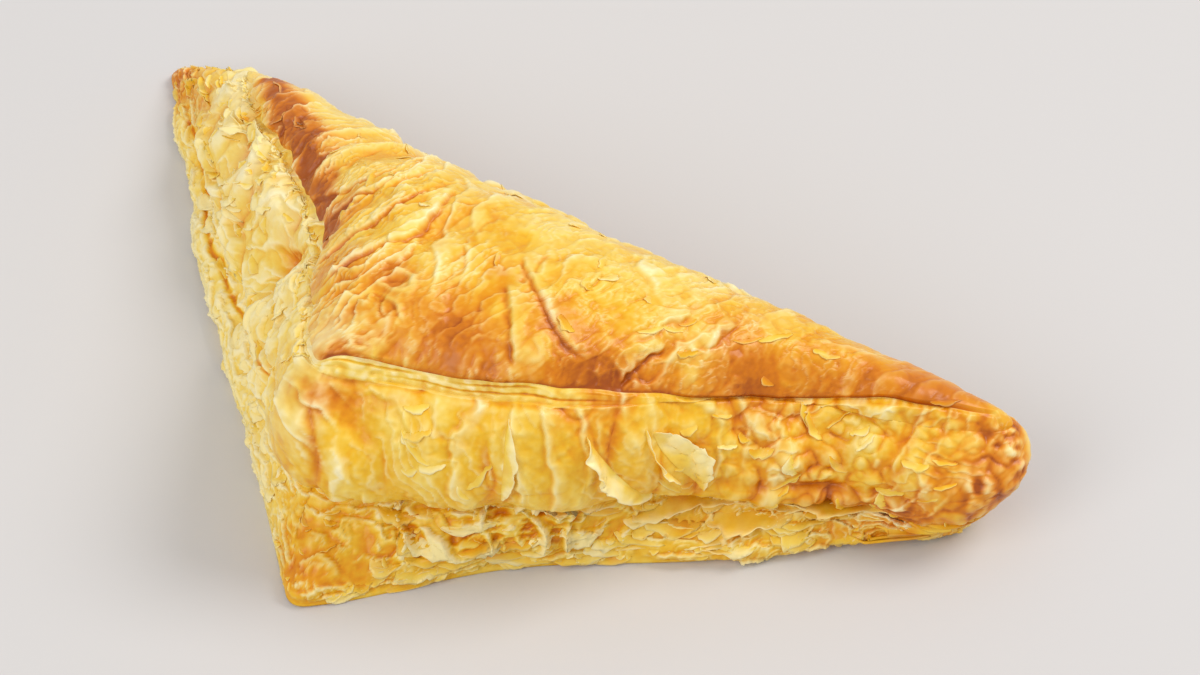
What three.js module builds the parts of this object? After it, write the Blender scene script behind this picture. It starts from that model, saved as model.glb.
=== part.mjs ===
// Turnover: a square of puff pastry folded on its diagonal over a filling and baked through.
// Millimetres, +Z up. X runs along the folded side, the right-angled corner points to -Y and
// the underside lies flat on Z = 0. The origin is the middle of the underside's bounding box.
//
// The skin is one closed grid. Its rings run round the pastry: out across the underside, up the
// walls from the foot of the lower sheet to the crest of the upper one, and in over the dome.
import * as THREE from 'three';

// Shares of one turn round the pastry, in the order of the two lists below.
const turn = [0.09, 0.29, 0.10, 0.22, 0.08, 0.22];
const marks = turn.reduce((list, share) => [...list, list[list.length - 1] + share], [0]);
const [frontCornerEnd, frontEdgeEnd, rightTipEnd, foldEnd, leftTipEnd] = marks.slice(1);

// Outline of the lower sheet on the table: front corner, right tip, left tip. A rounding is the
// length that a corner's curve takes from each side, and a bow pushes a side out, evenly and
// as an S.
const foot = {
  corners: [[-0.6, -42.2], [78.0, 32.5], [-84.9, 38.6]],
  rounding: [3, 12, 4],
  bows: [[-0.6, -2.3], [-1.1, 0.8], [1.1, 0.4]],
};

// Crest, where the walls end and the top face begins. The last two bows lift a side.
const crest = {
  corners: [[-5.6, -25.9, 35.1], [84.5, 37.9, 18.8], [-66, 35.2, 13.4]],
  rounding: [6, 12, 5],
  bows: [[0.7, 5.6, 1.8, 2.7], [-11.2, -0.1, 12.0, 0.8], [-5.2, 0.7, -0.3, 1.0]],
};

// Dome of the top face: its middle, how far it can rise over the crest, and within what reach.
const dome = { middle: [-1, 3], rise: 24, reach: 12 };
const undersideMiddle = [0, 6];

// Sections of the wall at these shares of the crest's height. Lean is the share of the way from
// the foot to the crest, and swell is what the wall stands out from there.
const heights = [0, 0.08, 0.17, 0.25, 0.36, 0.52, 0.70, 0.86, 1];
const sections = {
  frontCorner: {
    lean: [0, 0.08, 0.45, 0.72, 0.88, 0.76, 0.78, 0.88, 1],
    swell: [0, 0, 0, 0, 0, 3.0, 3.6, 2.4, 0],
  },
  front: {
    lean: [0, 0.02, 0.25, 0.54, 0.84, 0.71, 0.69, 0.82, 1],
    swell: [0, 0, 0.4, 0.2, 0, 3.0, 3.6, 2.4, 0],
  },
  frontRight: {
    lean: [0, 0.02, 0.12, 0.30, 0.49, 0.46, 0.60, 0.80, 1],
    swell: [0, 1.6, 1.2, 0.6, 0, 3.0, 2.6, 1.4, 0],
  },
  rightTip: {
    lean: [0, -0.10, -0.20, -0.20, 0, 0.25, 0.50, 0.75, 1],
    swell: [0, 3.8, 3.5, 4.4, 5.8, 7.2, 7.0, 4.0, 0],
  },
  fold: {
    lean: [0, 0, 0, 0.05, 0.12, 0.26, 0.48, 0.76, 1],
    swell: [0, 1.2, 2.0, 2.5, 3.0, 3.1, 2.4, 1.4, 0],
  },
  leftTip: {
    lean: [0, 0.02, 0.07, 0.16, 0.30, 0.48, 0.67, 0.84, 1],
    swell: [0, 0, 0, 0, 0, 0, 0.2, 0.7, 0],
  },
  left: {
    lean: [0, 0.01, 0.07, 0.16, 0.27, 0.44, 0.63, 0.82, 1],
    swell: [0, 0.3, 0.3, -0.8, 0.4, 1.0, 1.2, 0.9, 0],
  },
};

// Where round the pastry each section holds, from and to, with a smooth change in between.
const spans = [
  ['frontCorner', 0.02, frontCornerEnd - 0.02],
  ['front', frontCornerEnd + 0.07, frontEdgeEnd - 0.16],
  ['frontRight', frontEdgeEnd - 0.06, frontEdgeEnd - 0.06],
  ['rightTip', frontEdgeEnd + 0.02, rightTipEnd - 0.04],
  ['fold', rightTipEnd + 0.02, foldEnd - 0.10],
  ['leftTip', foldEnd - 0.01, leftTipEnd - 0.01],
  ['left', leftTipEnd + 0.05, 0.95],
  ['frontCorner', 1.02, 1.02],
];

// Relief of the baked surface, in millimetres. Sizes are [x, y, z] of one lattice step, a shift
// picks the place on the lattice, and drop is the share of a ridge's height that counts as level.
const relief = {
  bubbles: { size: [15, 15, 15], shift: [3.7, 0, 0], height: 0.9 },
  wrinkles: { across: 8, along: 30, height: 1.5, drop: 0.8, heading: [0.25, 0.97] },
  wrinkled: { from: -66, to: 12, fade: 23 },
  bend: { size: [14, 14, 1], shift: [0, 0, 7.5], steps: 1.2 },
  ribs: { size: [8.5, 8.5, 34], slant: 0.25, height: 2.1, drop: 0.64 },
  pockets: { size: [9, 9, 15], height: 2.7, drop: 0.56 },
  lumps: { size: [8.5, 8.5, 11], height: 1.3 },
  dimples: { size: [6.5, 6.5, 6.5], height: 1.0 },
  flap: { size: [9, 9, 9], height: 0.8 },
  hollow: { middle: [-40, 1.5, 14], reach: 7, depth: 2.6 },
  crease: { at: 0.60, width: 0.05, depth: 1.3 },
  seam: { at: 0.945, width: 0.022, depth: 0.9 },
  rimLift: { size: [17, 17, 1], shift: [3.3, 1.7, 0.5], height: 0.5, from: 0.35, to: 0.85, below: 0.3 },
};

// Where up the wall, as shares of the crest's height, the lower sheet ends and the wall's own
// relief begins, and how far in from the crest the top face's relief is full.
const sheetTop = { from: 0.32, to: 0.46 };
const sheetEdge = { from: 0.04, to: 0.14 };
const settleShare = 0.12;

// Rows of the grid.
const around = 190;
const undersideRows = [0.45, 0.93];
const lowWallRows = [0, 0.045, 0.09, 0.15, 0.22, 0.29, 0.36];
const highWallRows = [0.42, 0.50, 0.60, 0.71, 0.81, 0.89, 0.945, 0.975];
const topRows = [0, 0.035, 0.10, 0.19, 0.29, 0.40, 0.51, 0.62, 0.73, 0.84, 0.93];

function smoothStep(from, to, x) {
  const t = Math.min(Math.max((x - from) / (to - from), 0), 1);
  return t * t * (3 - 2 * t);
}

function mix(a, b, t) {
  return a.map((value, k) => value * (1 - t) + b[k] * t);
}

function wrap(u) {
  return u - Math.floor(u);
}

// Random number of a lattice point, from its whole coordinates.
function latticeValue(i, j, k) {
  let h = Math.imul(i, 374761393) ^ Math.imul(j, 668265263) ^ Math.imul(k, 1103515245);
  h = Math.imul(h ^ (h >>> 13), 1274126177);
  return ((h ^ (h >>> 16)) >>> 0) / 4294967296;
}

// Smooth noise from 0 to 1 at a point, by blending the eight lattice points round it.
function noise(x, y, z) {
  const [i, j, k] = [Math.floor(x), Math.floor(y), Math.floor(z)];
  const [a, b, c] = [x - i, y - j, z - k].map((t) => t * t * (3 - 2 * t));
  let sum = 0;
  for (const di of [0, 1]) {
    for (const dj of [0, 1]) {
      for (const dk of [0, 1]) {
        const weight = (di ? a : 1 - a) * (dj ? b : 1 - b) * (dk ? c : 1 - c);
        sum += weight * latticeValue(i + di, j + dj, k + dk);
      }
    }
  }
  return sum;
}

function noiseAt(point, { size, shift = [0, 0, 0] }) {
  return noise(...point.map((value, k) => value / size[k] + shift[k]));
}

// Even swell and hollow from -height to height.
function lumpy(point, spec) {
  return spec.height * (2 * noiseAt(point, spec) - 1);
}

// Sharp crests where the noise passes its middle: 1 on a crest, 0 in the hollows.
function crests(value) {
  return 1 - Math.abs(2 * value - 1);
}

function ridged(point, spec) {
  return spec.height * (crests(noiseAt(point, spec)) - spec.drop);
}

// Point of a closed outline: corners are quadratic curves, sides are straight lines with bows.
function outlinePoint({ corners, rounding, bows }, place) {
  const u = wrap(place);
  const side = u < marks[2] ? 0 : u < marks[4] ? 1 : 2;
  const here = corners[side];
  const before = corners[(side + 2) % 3];
  const after = corners[(side + 1) % 3];
  const reach = (from, to) => Math.hypot(...to.map((value, k) => value - from[k]));
  const stepTo = (from, to, length) => mix(from, to, length / reach(from, to));
  const leave = stepTo(here, after, rounding[side]);
  const [from, middle, to] = marks.slice(2 * side, 2 * side + 3);
  if (u < middle) {
    const t = (u - from) / (middle - from);
    const enter = stepTo(here, before, rounding[side]);
    return mix(mix(enter, here, t), mix(here, leave, t), t);
  }
  const t = (u - middle) / (to - middle);
  const arrive = stepTo(after, here, rounding[(side + 1) % 3]);
  const even = Math.sin(Math.PI * t) ** 2;
  const odd = Math.sin(Math.PI * t) * Math.sin(2 * Math.PI * t);
  const [outEven, outOdd, upEven, upOdd] = bows[side];
  const [dx, dy] = [after[0] - here[0], after[1] - here[1]];
  const out = (outEven * even + outOdd * odd) / Math.hypot(dx, dy);
  const point = mix(leave, arrive, t);
  point[0] += dy * out;
  point[1] -= dx * out;
  if (point.length > 2) point[2] += upEven * even + upOdd * odd;
  return point;
}

// Value of a section's list at a share of the height, by cubic Hermite pieces.
function sectionValue(list, t) {
  const last = heights.length - 1;
  const slope = (k) => {
    if (k === 0) return (list[1] - list[0]) / (heights[1] - heights[0]);
    if (k === last) return (list[last] - list[last - 1]) / (heights[last] - heights[last - 1]);
    const [below, above] = [heights[k] - heights[k - 1], heights[k + 1] - heights[k]];
    const [fall, rise] = [(list[k] - list[k - 1]) / below, (list[k + 1] - list[k]) / above];
    return (fall * above + rise * below) / (below + above);
  };
  let k = 0;
  while (k < last - 1 && t >= heights[k + 1]) k += 1;
  const step = heights[k + 1] - heights[k];
  const s = (t - heights[k]) / step;
  return (2 * s ** 3 - 3 * s ** 2 + 1) * list[k]
    + (s ** 3 - 2 * s ** 2 + s) * step * slope(k)
    + (3 * s ** 2 - 2 * s ** 3) * list[k + 1]
    + (s ** 3 - s ** 2) * step * slope(k + 1);
}

// How much each section counts at a place round the pastry.
function sectionWeights(place) {
  let u = wrap(place);
  if (u < spans[0][1]) u += 1;
  const weights = Object.fromEntries(Object.keys(sections).map((name) => [name, 0]));
  for (let n = 0; n < spans.length; n += 1) {
    const [name, from, to] = spans[n];
    const [nextName, nextFrom] = spans[(n + 1) % spans.length];
    if (u >= from && u <= to) weights[name] = 1;
    if (u > to && u < nextFrom) {
      const share = smoothStep(to, nextFrom, u);
      weights[name] += 1 - share;
      weights[nextName] += share;
    }
  }
  return weights;
}

function footOutward(u) {
  const step = 0.004;
  const [ahead, behind] = [outlinePoint(foot, u + step), outlinePoint(foot, u - step)];
  const [dx, dy] = [ahead[0] - behind[0], ahead[1] - behind[1]];
  const length = Math.hypot(dx, dy);
  return [dy / length, -dx / length];
}

function wallPoint(u, t, weights) {
  const low = outlinePoint(foot, u);
  const high = outlinePoint(crest, u);
  const out = footOutward(u);
  let [lean, swell] = [0, 0];
  for (const [name, weight] of Object.entries(weights)) {
    if (weight === 0) continue;
    lean += weight * sectionValue(sections[name].lean, t);
    swell += weight * sectionValue(sections[name].swell, t);
  }
  const lift = rimLift(low) * (1 - smoothStep(0, relief.rimLift.below, t));
  return [
    low[0] + (high[0] - low[0]) * lean + out[0] * swell,
    low[1] + (high[1] - low[1]) * lean + out[1] * swell,
    high[2] * t + lift,
  ];
}

// The lower sheet's edge curls off the table a little, more in some places than in others.
function rimLift([x, y]) {
  const { height, from, to } = relief.rimLift;
  return height * smoothStep(from, to, noiseAt([x, y, 0], relief.rimLift));
}

// Height of the top face: mean value coordinates carry the crest's height inwards, and their
// weights also give a smooth distance from the crest, over which the dome rises.
const crestSteps = 120;
const crestRing = Array.from({ length: crestSteps }, (_, k) => {
  return outlinePoint(crest, (k + 0.5) / crestSteps);
});
function domeHeight(x, y) {
  const spokes = crestRing.map(([px, py]) => [px - x, py - y, Math.hypot(px - x, py - y)]);
  const halfTangents = spokes.map(([ax, ay, ar], k) => {
    const [bx, by, br] = spokes[(k + 1) % spokes.length];
    return (ax * by - ay * bx) / (ar * br + ax * bx + ay * by);
  });
  let [total, height] = [0, 0];
  for (let k = 0; k < spokes.length; k += 1) {
    const before = halfTangents[(k + spokes.length - 1) % spokes.length];
    const weight = (before + halfTangents[k]) / spokes[k][2];
    total += weight;
    height += weight * crestRing[k][2];
  }
  const inside = 2 / total;
  return height / total + dome.rise * (1 - Math.exp(-inside / dome.reach));
}

function topPoint(u, share) {
  const edge = outlinePoint(crest, u);
  if (share === 0) return edge;
  const [x, y] = mix(edge.slice(0, 2), dome.middle, share);
  return [x, y, domeHeight(x, y)];
}

function undersidePoint(u, share) {
  const [x, y] = mix(undersideMiddle, outlinePoint(foot, u), share);
  return [x, y, 0];
}

// Relief of the top face: broad bubbles, and at the left long wrinkles that run to the fold.
function topRelief([x, y, z]) {
  const { across, along, height, drop, heading } = relief.wrinkles;
  const { from, to, fade } = relief.wrinkled;
  const [hx, hy] = heading;
  const bend = relief.bend.steps * noiseAt([x, y, 0], relief.bend);
  const wrinkle = noise((x * hy - y * hx) / across + bend, (x * hx + y * hy) / along, 0);
  const where = smoothStep(from, from + fade, x) * (1 - smoothStep(to - fade, to, x));
  return lumpy([x, y, z], relief.bubbles) + where * height * (crests(wrinkle) - drop);
}

// Relief of the walls: upright ribs on the front, pockets at the left, lumps and a crease at
// the right, dimples on the right tip, and below them the uneven top of the lower sheet.
function wallRelief(point, t, weights) {
  const [x, y, z] = point;
  const { ribs, pockets, lumps, dimples, flap, hollow, crease, seam } = relief;
  const front = weights.frontCorner + weights.front;
  const fold = weights.fold + weights.leftTip;
  const mixed = front * ridged([x + ribs.slant * z, y, z], ribs)
    + weights.left * ridged(point, pockets)
    + (weights.frontRight + 0.6 * fold + 0.5 * weights.rightTip) * lumpy(point, lumps)
    + weights.rightTip * lumpy(point, dimples);
  const onWall = smoothStep(sheetTop.from, sheetTop.to, t);
  const onSheet = smoothStep(sheetEdge.from, sheetEdge.to, t) * (1 - onWall);
  const away = Math.hypot(...point.map((value, k) => value - hollow.middle[k]));
  const groove = ({ at, width, depth }) => depth * Math.exp(-(((t - at) / width) ** 2));
  return onWall * mixed + onSheet * lumpy(point, flap)
    - hollow.depth * Math.exp(-((away / hollow.reach) ** 2))
    - groove(crease) * weights.frontRight
    - groove(seam) * (1 - fold) * (1 - 0.5 * weights.rightTip);
}

// All rings from the underside's middle to the dome's, with the relief that each point takes.
function skinRings() {
  const places = Array.from({ length: around }, (_, k) => k / around);
  const weights = places.map(sectionWeights);
  const rings = [];
  for (const share of undersideRows) {
    rings.push(places.map((u) => ({ at: undersidePoint(u, share), out: 0 })));
  }
  for (const t of [...lowWallRows, ...highWallRows]) {
    rings.push(places.map((u, k) => {
      const at = wallPoint(u, t, weights[k]);
      return { at, out: t === 0 ? 0 : wallRelief(at, t, weights[k]) };
    }));
  }
  for (const share of topRows) {
    rings.push(places.map((u, k) => {
      const at = topPoint(u, share);
      const settled = smoothStep(0, settleShare, share);
      const out = settled * topRelief(at) + (1 - settled) * wallRelief(at, 1, weights[k]);
      return { at, out };
    }));
  }
  return rings;
}

// Move each point along the grid's normal, from its neighbours round and across the rings.
function raised(rings) {
  return rings.map((ring, row) => ring.map((point, k) => {
    if (point.out === 0) return point.at;
    const next = new THREE.Vector3(...ring[(k + 1) % around].at);
    const last = new THREE.Vector3(...ring[(k + around - 1) % around].at);
    const above = new THREE.Vector3(...rings[Math.min(row + 1, rings.length - 1)][k].at);
    const below = new THREE.Vector3(...rings[row - 1][k].at);
    const normal = next.sub(last).cross(above.sub(below)).normalize();
    return point.at.map((value, axis) => value + normal.getComponent(axis) * point.out);
  }));
}

function skinGeometry() {
  const rings = raised(skinRings());
  const [summitX, summitY] = dome.middle;
  const summit = [summitX, summitY, domeHeight(summitX, summitY)];
  summit[2] += topRelief(summit);
  const corners = [[...undersideMiddle, 0], ...rings.flat(), summit];
  const faces = [];
  const corner = (row, k) => 1 + row * around + (k % around);
  const lastRow = rings.length - 1;
  for (let k = 0; k < around; k += 1) {
    faces.push(0, corner(0, k + 1), corner(0, k));
    for (let row = 0; row < lastRow; row += 1) {
      faces.push(corner(row, k), corner(row, k + 1), corner(row + 1, k + 1));
      faces.push(corner(row, k), corner(row + 1, k + 1), corner(row + 1, k));
    }
    faces.push(corner(lastRow, k), corner(lastRow, k + 1), corners.length - 1);
  }
  const geometry = new THREE.BufferGeometry();
  geometry.setAttribute('position', new THREE.Float32BufferAttribute(corners.flat(), 3));
  geometry.setIndex(faces);
  geometry.computeBoundingBox();
  const middle = geometry.boundingBox.getCenter(new THREE.Vector3());
  geometry.translate(-middle.x, -middle.y, 0);
  geometry.computeVertexNormals();
  return geometry;
}

const bakedPastry = new THREE.MeshStandardMaterial({ color: 0xe3ad4b, roughness: 0.5, metalness: 0 });
const turnover = new THREE.Mesh(skinGeometry(), bakedPastry);
turnover.name = 'turnover';

const model = new THREE.Group();
model.add(turnover);

export default model;
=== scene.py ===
# Looks of a baked puff pastry turnover: browned top, puffed flaky walls and a thin lower sheet.
# Shapes are worked out in millimetres and put into the meshes in metres.
import math
import bpy
import numpy as np
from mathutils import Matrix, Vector


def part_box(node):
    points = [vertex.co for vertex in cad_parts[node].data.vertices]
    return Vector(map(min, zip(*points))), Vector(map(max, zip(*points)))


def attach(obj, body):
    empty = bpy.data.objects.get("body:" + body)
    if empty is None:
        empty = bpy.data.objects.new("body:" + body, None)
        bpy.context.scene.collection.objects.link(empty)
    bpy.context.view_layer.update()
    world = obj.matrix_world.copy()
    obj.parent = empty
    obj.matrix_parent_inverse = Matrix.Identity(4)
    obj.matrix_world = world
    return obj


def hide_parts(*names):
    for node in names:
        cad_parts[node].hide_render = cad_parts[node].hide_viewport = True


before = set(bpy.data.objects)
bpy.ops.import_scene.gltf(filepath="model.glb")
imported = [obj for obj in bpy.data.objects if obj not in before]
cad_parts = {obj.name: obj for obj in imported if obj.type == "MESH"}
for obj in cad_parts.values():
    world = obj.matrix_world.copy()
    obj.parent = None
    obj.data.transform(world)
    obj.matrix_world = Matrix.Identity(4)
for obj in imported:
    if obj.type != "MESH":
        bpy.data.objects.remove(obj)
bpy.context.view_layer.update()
mm = 0.001

# Shares of one turn round the pastry: front corner, front edge, right tip, fold, left tip, left edge.
turn = [0.09, 0.29, 0.10, 0.22, 0.08, 0.22]
marks = np.concatenate([[0.0], np.cumsum(turn)])
frontCornerEnd, frontEdgeEnd, rightTipEnd, foldEnd, leftTipEnd = marks[1:6]
leftTipMiddle = (foldEnd + leftTipEnd) / 2
rightTipMiddle = (frontEdgeEnd + rightTipEnd) / 2

form = {
    "foot": {  # outline of the lower sheet on the table
        "corners": [(-0.6, -42.2), (78.0, 32.5), (-84.9, 38.6)],
        "rounding": [3, 12, 4],
        "bows": [(-0.6, -2.3), (-1.1, 0.8), (1.1, 0.4)],
    },
    "crest": {  # where the walls end and the top face begins
        "corners": [(-5.6, -25.9, 35.1), (84.5, 37.9, 18.8), (-66, 35.2, 13.4)],
        "rounding": [6, 12, 5],
        "bows": [(0.7, 5.6, 1.8, 2.7), (-11.2, -0.1, 12.0, 0.8), (-5.2, 0.7, -0.3, 1.0)],
    },
    "dome": {"rise": 24, "reach": 12, "steps": 120},
    "undersideMiddle": (0, 6),
    "heights": [0, 0.08, 0.17, 0.25, 0.36, 0.52, 0.70, 0.86, 1],
    "sections": {  # lean: share of the way from foot to crest; swell: how far the wall stands out
        "frontCorner": ([0, 0.08, 0.45, 0.72, 0.88, 0.76, 0.78, 0.88, 1], [0, 0, 0, 0, 0, 3.0, 3.6, 2.4, 0]),
        "front": ([0, 0.02, 0.25, 0.54, 0.84, 0.71, 0.69, 0.82, 1], [0, 0, 0.4, 0.2, 0, 3.0, 3.6, 2.4, 0]),
        "frontRight": ([0, 0.02, 0.12, 0.30, 0.49, 0.46, 0.60, 0.80, 1], [0, 1.6, 1.2, 0.6, 0, 3.0, 2.6, 1.4, 0]),
        "rightTip": ([0, -0.10, -0.20, -0.20, 0, 0.25, 0.50, 0.75, 1], [0, 3.8, 3.5, 4.4, 5.8, 7.2, 7.0, 4.0, 0]),
        "fold": ([0, 0, 0, 0.05, 0.12, 0.26, 0.48, 0.76, 1], [0, 1.2, 2.0, 2.5, 3.0, 3.1, 2.4, 1.4, 0]),
        "leftTip": ([0, 0.02, 0.07, 0.16, 0.30, 0.48, 0.67, 0.84, 1], [0, 0, 0, 0, 0, 0, 0.2, 0.7, 0]),
        "left": ([0, 0.01, 0.07, 0.16, 0.27, 0.44, 0.63, 0.82, 1], [0, 0.3, 0.3, -0.8, 0.4, 1.0, 1.2, 0.9, 0]),
    },
    "spans": [  # where each section holds, from and to, with a smooth change in between
        ("frontCorner", 0.02, frontCornerEnd - 0.02),
        ("front", frontCornerEnd + 0.07, frontEdgeEnd - 0.16),
        ("frontRight", frontEdgeEnd - 0.06, frontEdgeEnd - 0.06),
        ("rightTip", frontEdgeEnd + 0.02, rightTipEnd - 0.04),
        ("fold", rightTipEnd + 0.02, foldEnd - 0.10),
        ("leftTip", foldEnd - 0.01, leftTipEnd - 0.01),
        ("left", leftTipEnd + 0.05, 0.95),
        ("frontCorner", 1.02, 1.02),
    ],
}

# Relief that the solid has too: sizes of a lattice step, shifts on the lattice, and heights.
swells = {
    "bubbles": {"size": (15, 15, 15), "shift": (3.7, 0, 0), "height": 0.9},
    "wrinkles": {"across": 8, "along": 30, "height": 1.5, "drop": 0.8, "heading": (0.25, 0.97),
                 "from": (-66, -43), "to": (-11, 12)},
    "bend": {"size": (14, 14, 1), "shift": (0, 0, 7.5), "steps": 1.2},
    "ribs": {"size": (8.5, 8.5, 34), "slant": 0.25, "height": 2.1, "drop": 0.64},
    "pockets": {"size": (9, 9, 15), "height": 2.7, "drop": 0.56},
    "lumps": {"size": (8.5, 8.5, 11), "height": 1.3},
    "dimples": {"size": (6.5, 6.5, 6.5), "height": 1.0},
    "flap": {"size": (9, 9, 9), "height": 0.8},
    "hollow": {"middle": (-40, 1.5, 14), "reach": 7, "depth": 2.6},
    "crease": {"at": 0.60, "width": 0.05, "depth": 1.3},
    "seam": {"at": 1.0, "width": 0.016, "depth": 0.5},
    "rimLift": {"size": (17, 17, 1), "shift": (3.3, 1.7, 0.5), "height": 0.5, "from": 0.35, "to": 0.85,
                "below": 0.3},
}


def smooth(low, high, x):
    t = np.clip((x - low) / (high - low), 0, 1)
    return t * t * (3 - 2 * t)


def unit(v):
    return v / np.maximum(np.linalg.norm(v, axis=-1, keepdims=True), 1e-9)


# Random number from 0 to 1 of each lattice point, hashed from its whole coordinates.
def lattice(i, j, k):
    h = ((i * 374761393) ^ (j * 668265263) ^ (k * 1103515245)) & 0xFFFFFFFF
    h = ((h ^ (h >> 13)) * 1274126177) & 0xFFFFFFFF
    return (h ^ (h >> 16)) / 4294967296.0


# Smooth noise from 0 to 1: the eight lattice points round each place, blended by eased shares.
def noise(points, size, shift=(0, 0, 0)):
    q = points / np.asarray(size, float) + np.asarray(shift, float)
    cell = np.floor(q).astype(np.int64)
    t = q - cell
    t = t * t * (3 - 2 * t)
    value = 0
    for di in (0, 1):
        for dj in (0, 1):
            for dk in (0, 1):
                share = (t[..., 0] if di else 1 - t[..., 0]) * (t[..., 1] if dj else 1 - t[..., 1])
                share = share * (t[..., 2] if dk else 1 - t[..., 2])
                value = value + share * lattice(cell[..., 0] + di, cell[..., 1] + dj, cell[..., 2] + dk)
    return value


def swing(points, size, shift=(0, 0, 0)):  # noise from -1 to 1
    return 2 * noise(points, size, shift) - 1


def crests(value):  # sharp crest where the noise passes its middle
    return 1 - np.abs(2 * value - 1)


# Point of a closed outline at u turns: quadratic curves round the corners, and straight sides in
# between with an even bow (sine squared) and an S-shaped one (sine times double sine).
def outlineAt(outline, u):
    u = u - np.floor(u)
    corners = np.array(outline["corners"], float)
    out = np.zeros(u.shape + (corners.shape[1],))
    for side in range(3):
        here, before, after = corners[side], corners[side - 1], corners[(side + 1) % 3]
        cut, nextCut = outline["rounding"][side], outline["rounding"][(side + 1) % 3]
        enter = here + unit(before - here) * cut
        leave = here + unit(after - here) * cut
        arrive = after + unit(here - after) * nextCut
        start, middle, end = marks[2 * side : 2 * side + 3]
        bend = (u >= start) & (u < middle)
        t = ((u[bend] - start) / (middle - start))[:, None]
        out[bend] = (enter * (1 - t) + here * t) * (1 - t) + (here * (1 - t) + leave * t) * t
        run = (u >= middle) & ((u < end) | (side == 2))
        t = ((u[run] - middle) / (end - middle))[:, None]
        even, odd = np.sin(np.pi * t) ** 2, np.sin(np.pi * t) * np.sin(2 * np.pi * t)
        bows = outline["bows"][side]
        dx, dy = (after - here)[:2]
        point = leave * (1 - t) + arrive * t
        point[:, :2] += (bows[0] * even + bows[1] * odd) * np.array([dy, -dx]) / math.hypot(dx, dy)
        if len(bows) > 2:
            point[:, 2:] += bows[2] * even + bows[3] * odd
        out[run] = point
    return out


# Value of a section's list at each share of the height, by cubic Hermite pieces.
def sectionAt(values, t):
    knots, values = np.array(form["heights"]), np.array(values, float)
    slopes = np.gradient(values, knots)
    k = np.clip(np.searchsorted(knots, t, side="right") - 1, 0, len(knots) - 2)
    step = knots[k + 1] - knots[k]
    s = (t - knots[k]) / step
    start = (2 * s**3 - 3 * s**2 + 1) * values[k] + (s**3 - 2 * s**2 + s) * step * slopes[k]
    return start + (3 * s**2 - 2 * s**3) * values[k + 1] + (s**3 - s**2) * step * slopes[k + 1]


# How much each section counts at each place round the pastry.
def weightsAt(u):
    u = u - np.floor(u)
    spans = form["spans"]
    u = np.where(u < spans[0][1], u + 1, u)
    weights = {name: np.zeros(u.shape) for name in form["sections"]}
    for n, (name, start, end) in enumerate(spans):
        nextName, nextStart = spans[(n + 1) % len(spans)][:2]
        weights[name] = np.where((u >= start) & (u <= end), 1.0, weights[name])
        share = smooth(end, nextStart, u)
        between = (u > end) & (u < nextStart)
        weights[name] = weights[name] + np.where(between, 1 - share, 0)
        weights[nextName] = weights[nextName] + np.where(between, share, 0)
    return weights


def flat3(xy, z=0.0):
    return np.concatenate([xy, np.broadcast_to(z, xy.shape[:-1])[..., None]], -1)


# Wall surface: from the foot to the crest by the sections' lean, pushed out by their swell along
# the foot's outward direction, with the edge of the lower sheet curling up a little.
def wallAt(u, t, weights):
    low, high = outlineAt(form["foot"], u), outlineAt(form["crest"], u)
    ahead = outlineAt(form["foot"], u + 0.004) - outlineAt(form["foot"], u - 0.004)
    out = unit(np.stack([ahead[..., 1], -ahead[..., 0]], -1))
    lean = sum(weights[name] * sectionAt(form["sections"][name][0], t) for name in weights)
    swell = sum(weights[name] * sectionAt(form["sections"][name][1], t) for name in weights)
    lift = swells["rimLift"]
    curl = lift["height"] * smooth(lift["from"], lift["to"], noise(flat3(low), lift["size"], lift["shift"]))
    xy = low + (high[..., :2] - low) * lean[..., None] + out * swell[..., None]
    return flat3(xy, high[..., 2] * t + curl * (1 - smooth(0, lift["below"], t)))


# Height of the top face: mean value coordinates carry the crest's height inwards, and the dome
# rises with the smooth distance from the crest that their weights give.
def domeAt(xy):
    dome = form["dome"]
    ring = outlineAt(form["crest"], (np.arange(dome["steps"]) + 0.5) / dome["steps"])
    flat = xy.reshape(-1, 2)
    height = np.zeros(len(flat))
    for start in range(0, len(flat), 20000):
        spoke = ring[None, :, :2] - flat[start : start + 20000, None]
        length = np.linalg.norm(spoke, axis=-1) + 1e-9
        nextSpoke, nextLength = np.roll(spoke, -1, 1), np.roll(length, -1, 1)
        cross = spoke[..., 0] * nextSpoke[..., 1] - spoke[..., 1] * nextSpoke[..., 0]
        half = cross / (length * nextLength + (spoke * nextSpoke).sum(-1) + 1e-9)
        weight = (half + np.roll(half, 1, 1)) / length
        total = weight.sum(1)
        rise = dome["rise"] * (1 - np.exp(-2 / total / dome["reach"]))
        height[start : start + 20000] = (weight * ring[:, 2]).sum(1) / total + rise
    return height.reshape(xy.shape[:-1])


# Places round the pastry, evenly spaced along the middle of foot and crest, between two turns.
def evenTurns(start, end, count):
    fine = np.linspace(start, end, 6000)
    path = outlineAt(form["crest"], fine)[:, :2] + outlineAt(form["foot"], fine)
    length = np.concatenate([[0], np.cumsum(np.linalg.norm(np.diff(path, axis=0), axis=1))])
    return np.interp(np.linspace(0, length[-1], count), length, fine)


# Normals of a grid of points, from the steps along its two directions.
def gridNormals(points, closed):
    if closed:
        across = np.roll(points, -1, 1) - np.roll(points, 1, 1)
    else:
        across = np.gradient(points, axis=1)
    return unit(np.cross(across, np.gradient(points, axis=0)))


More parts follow.
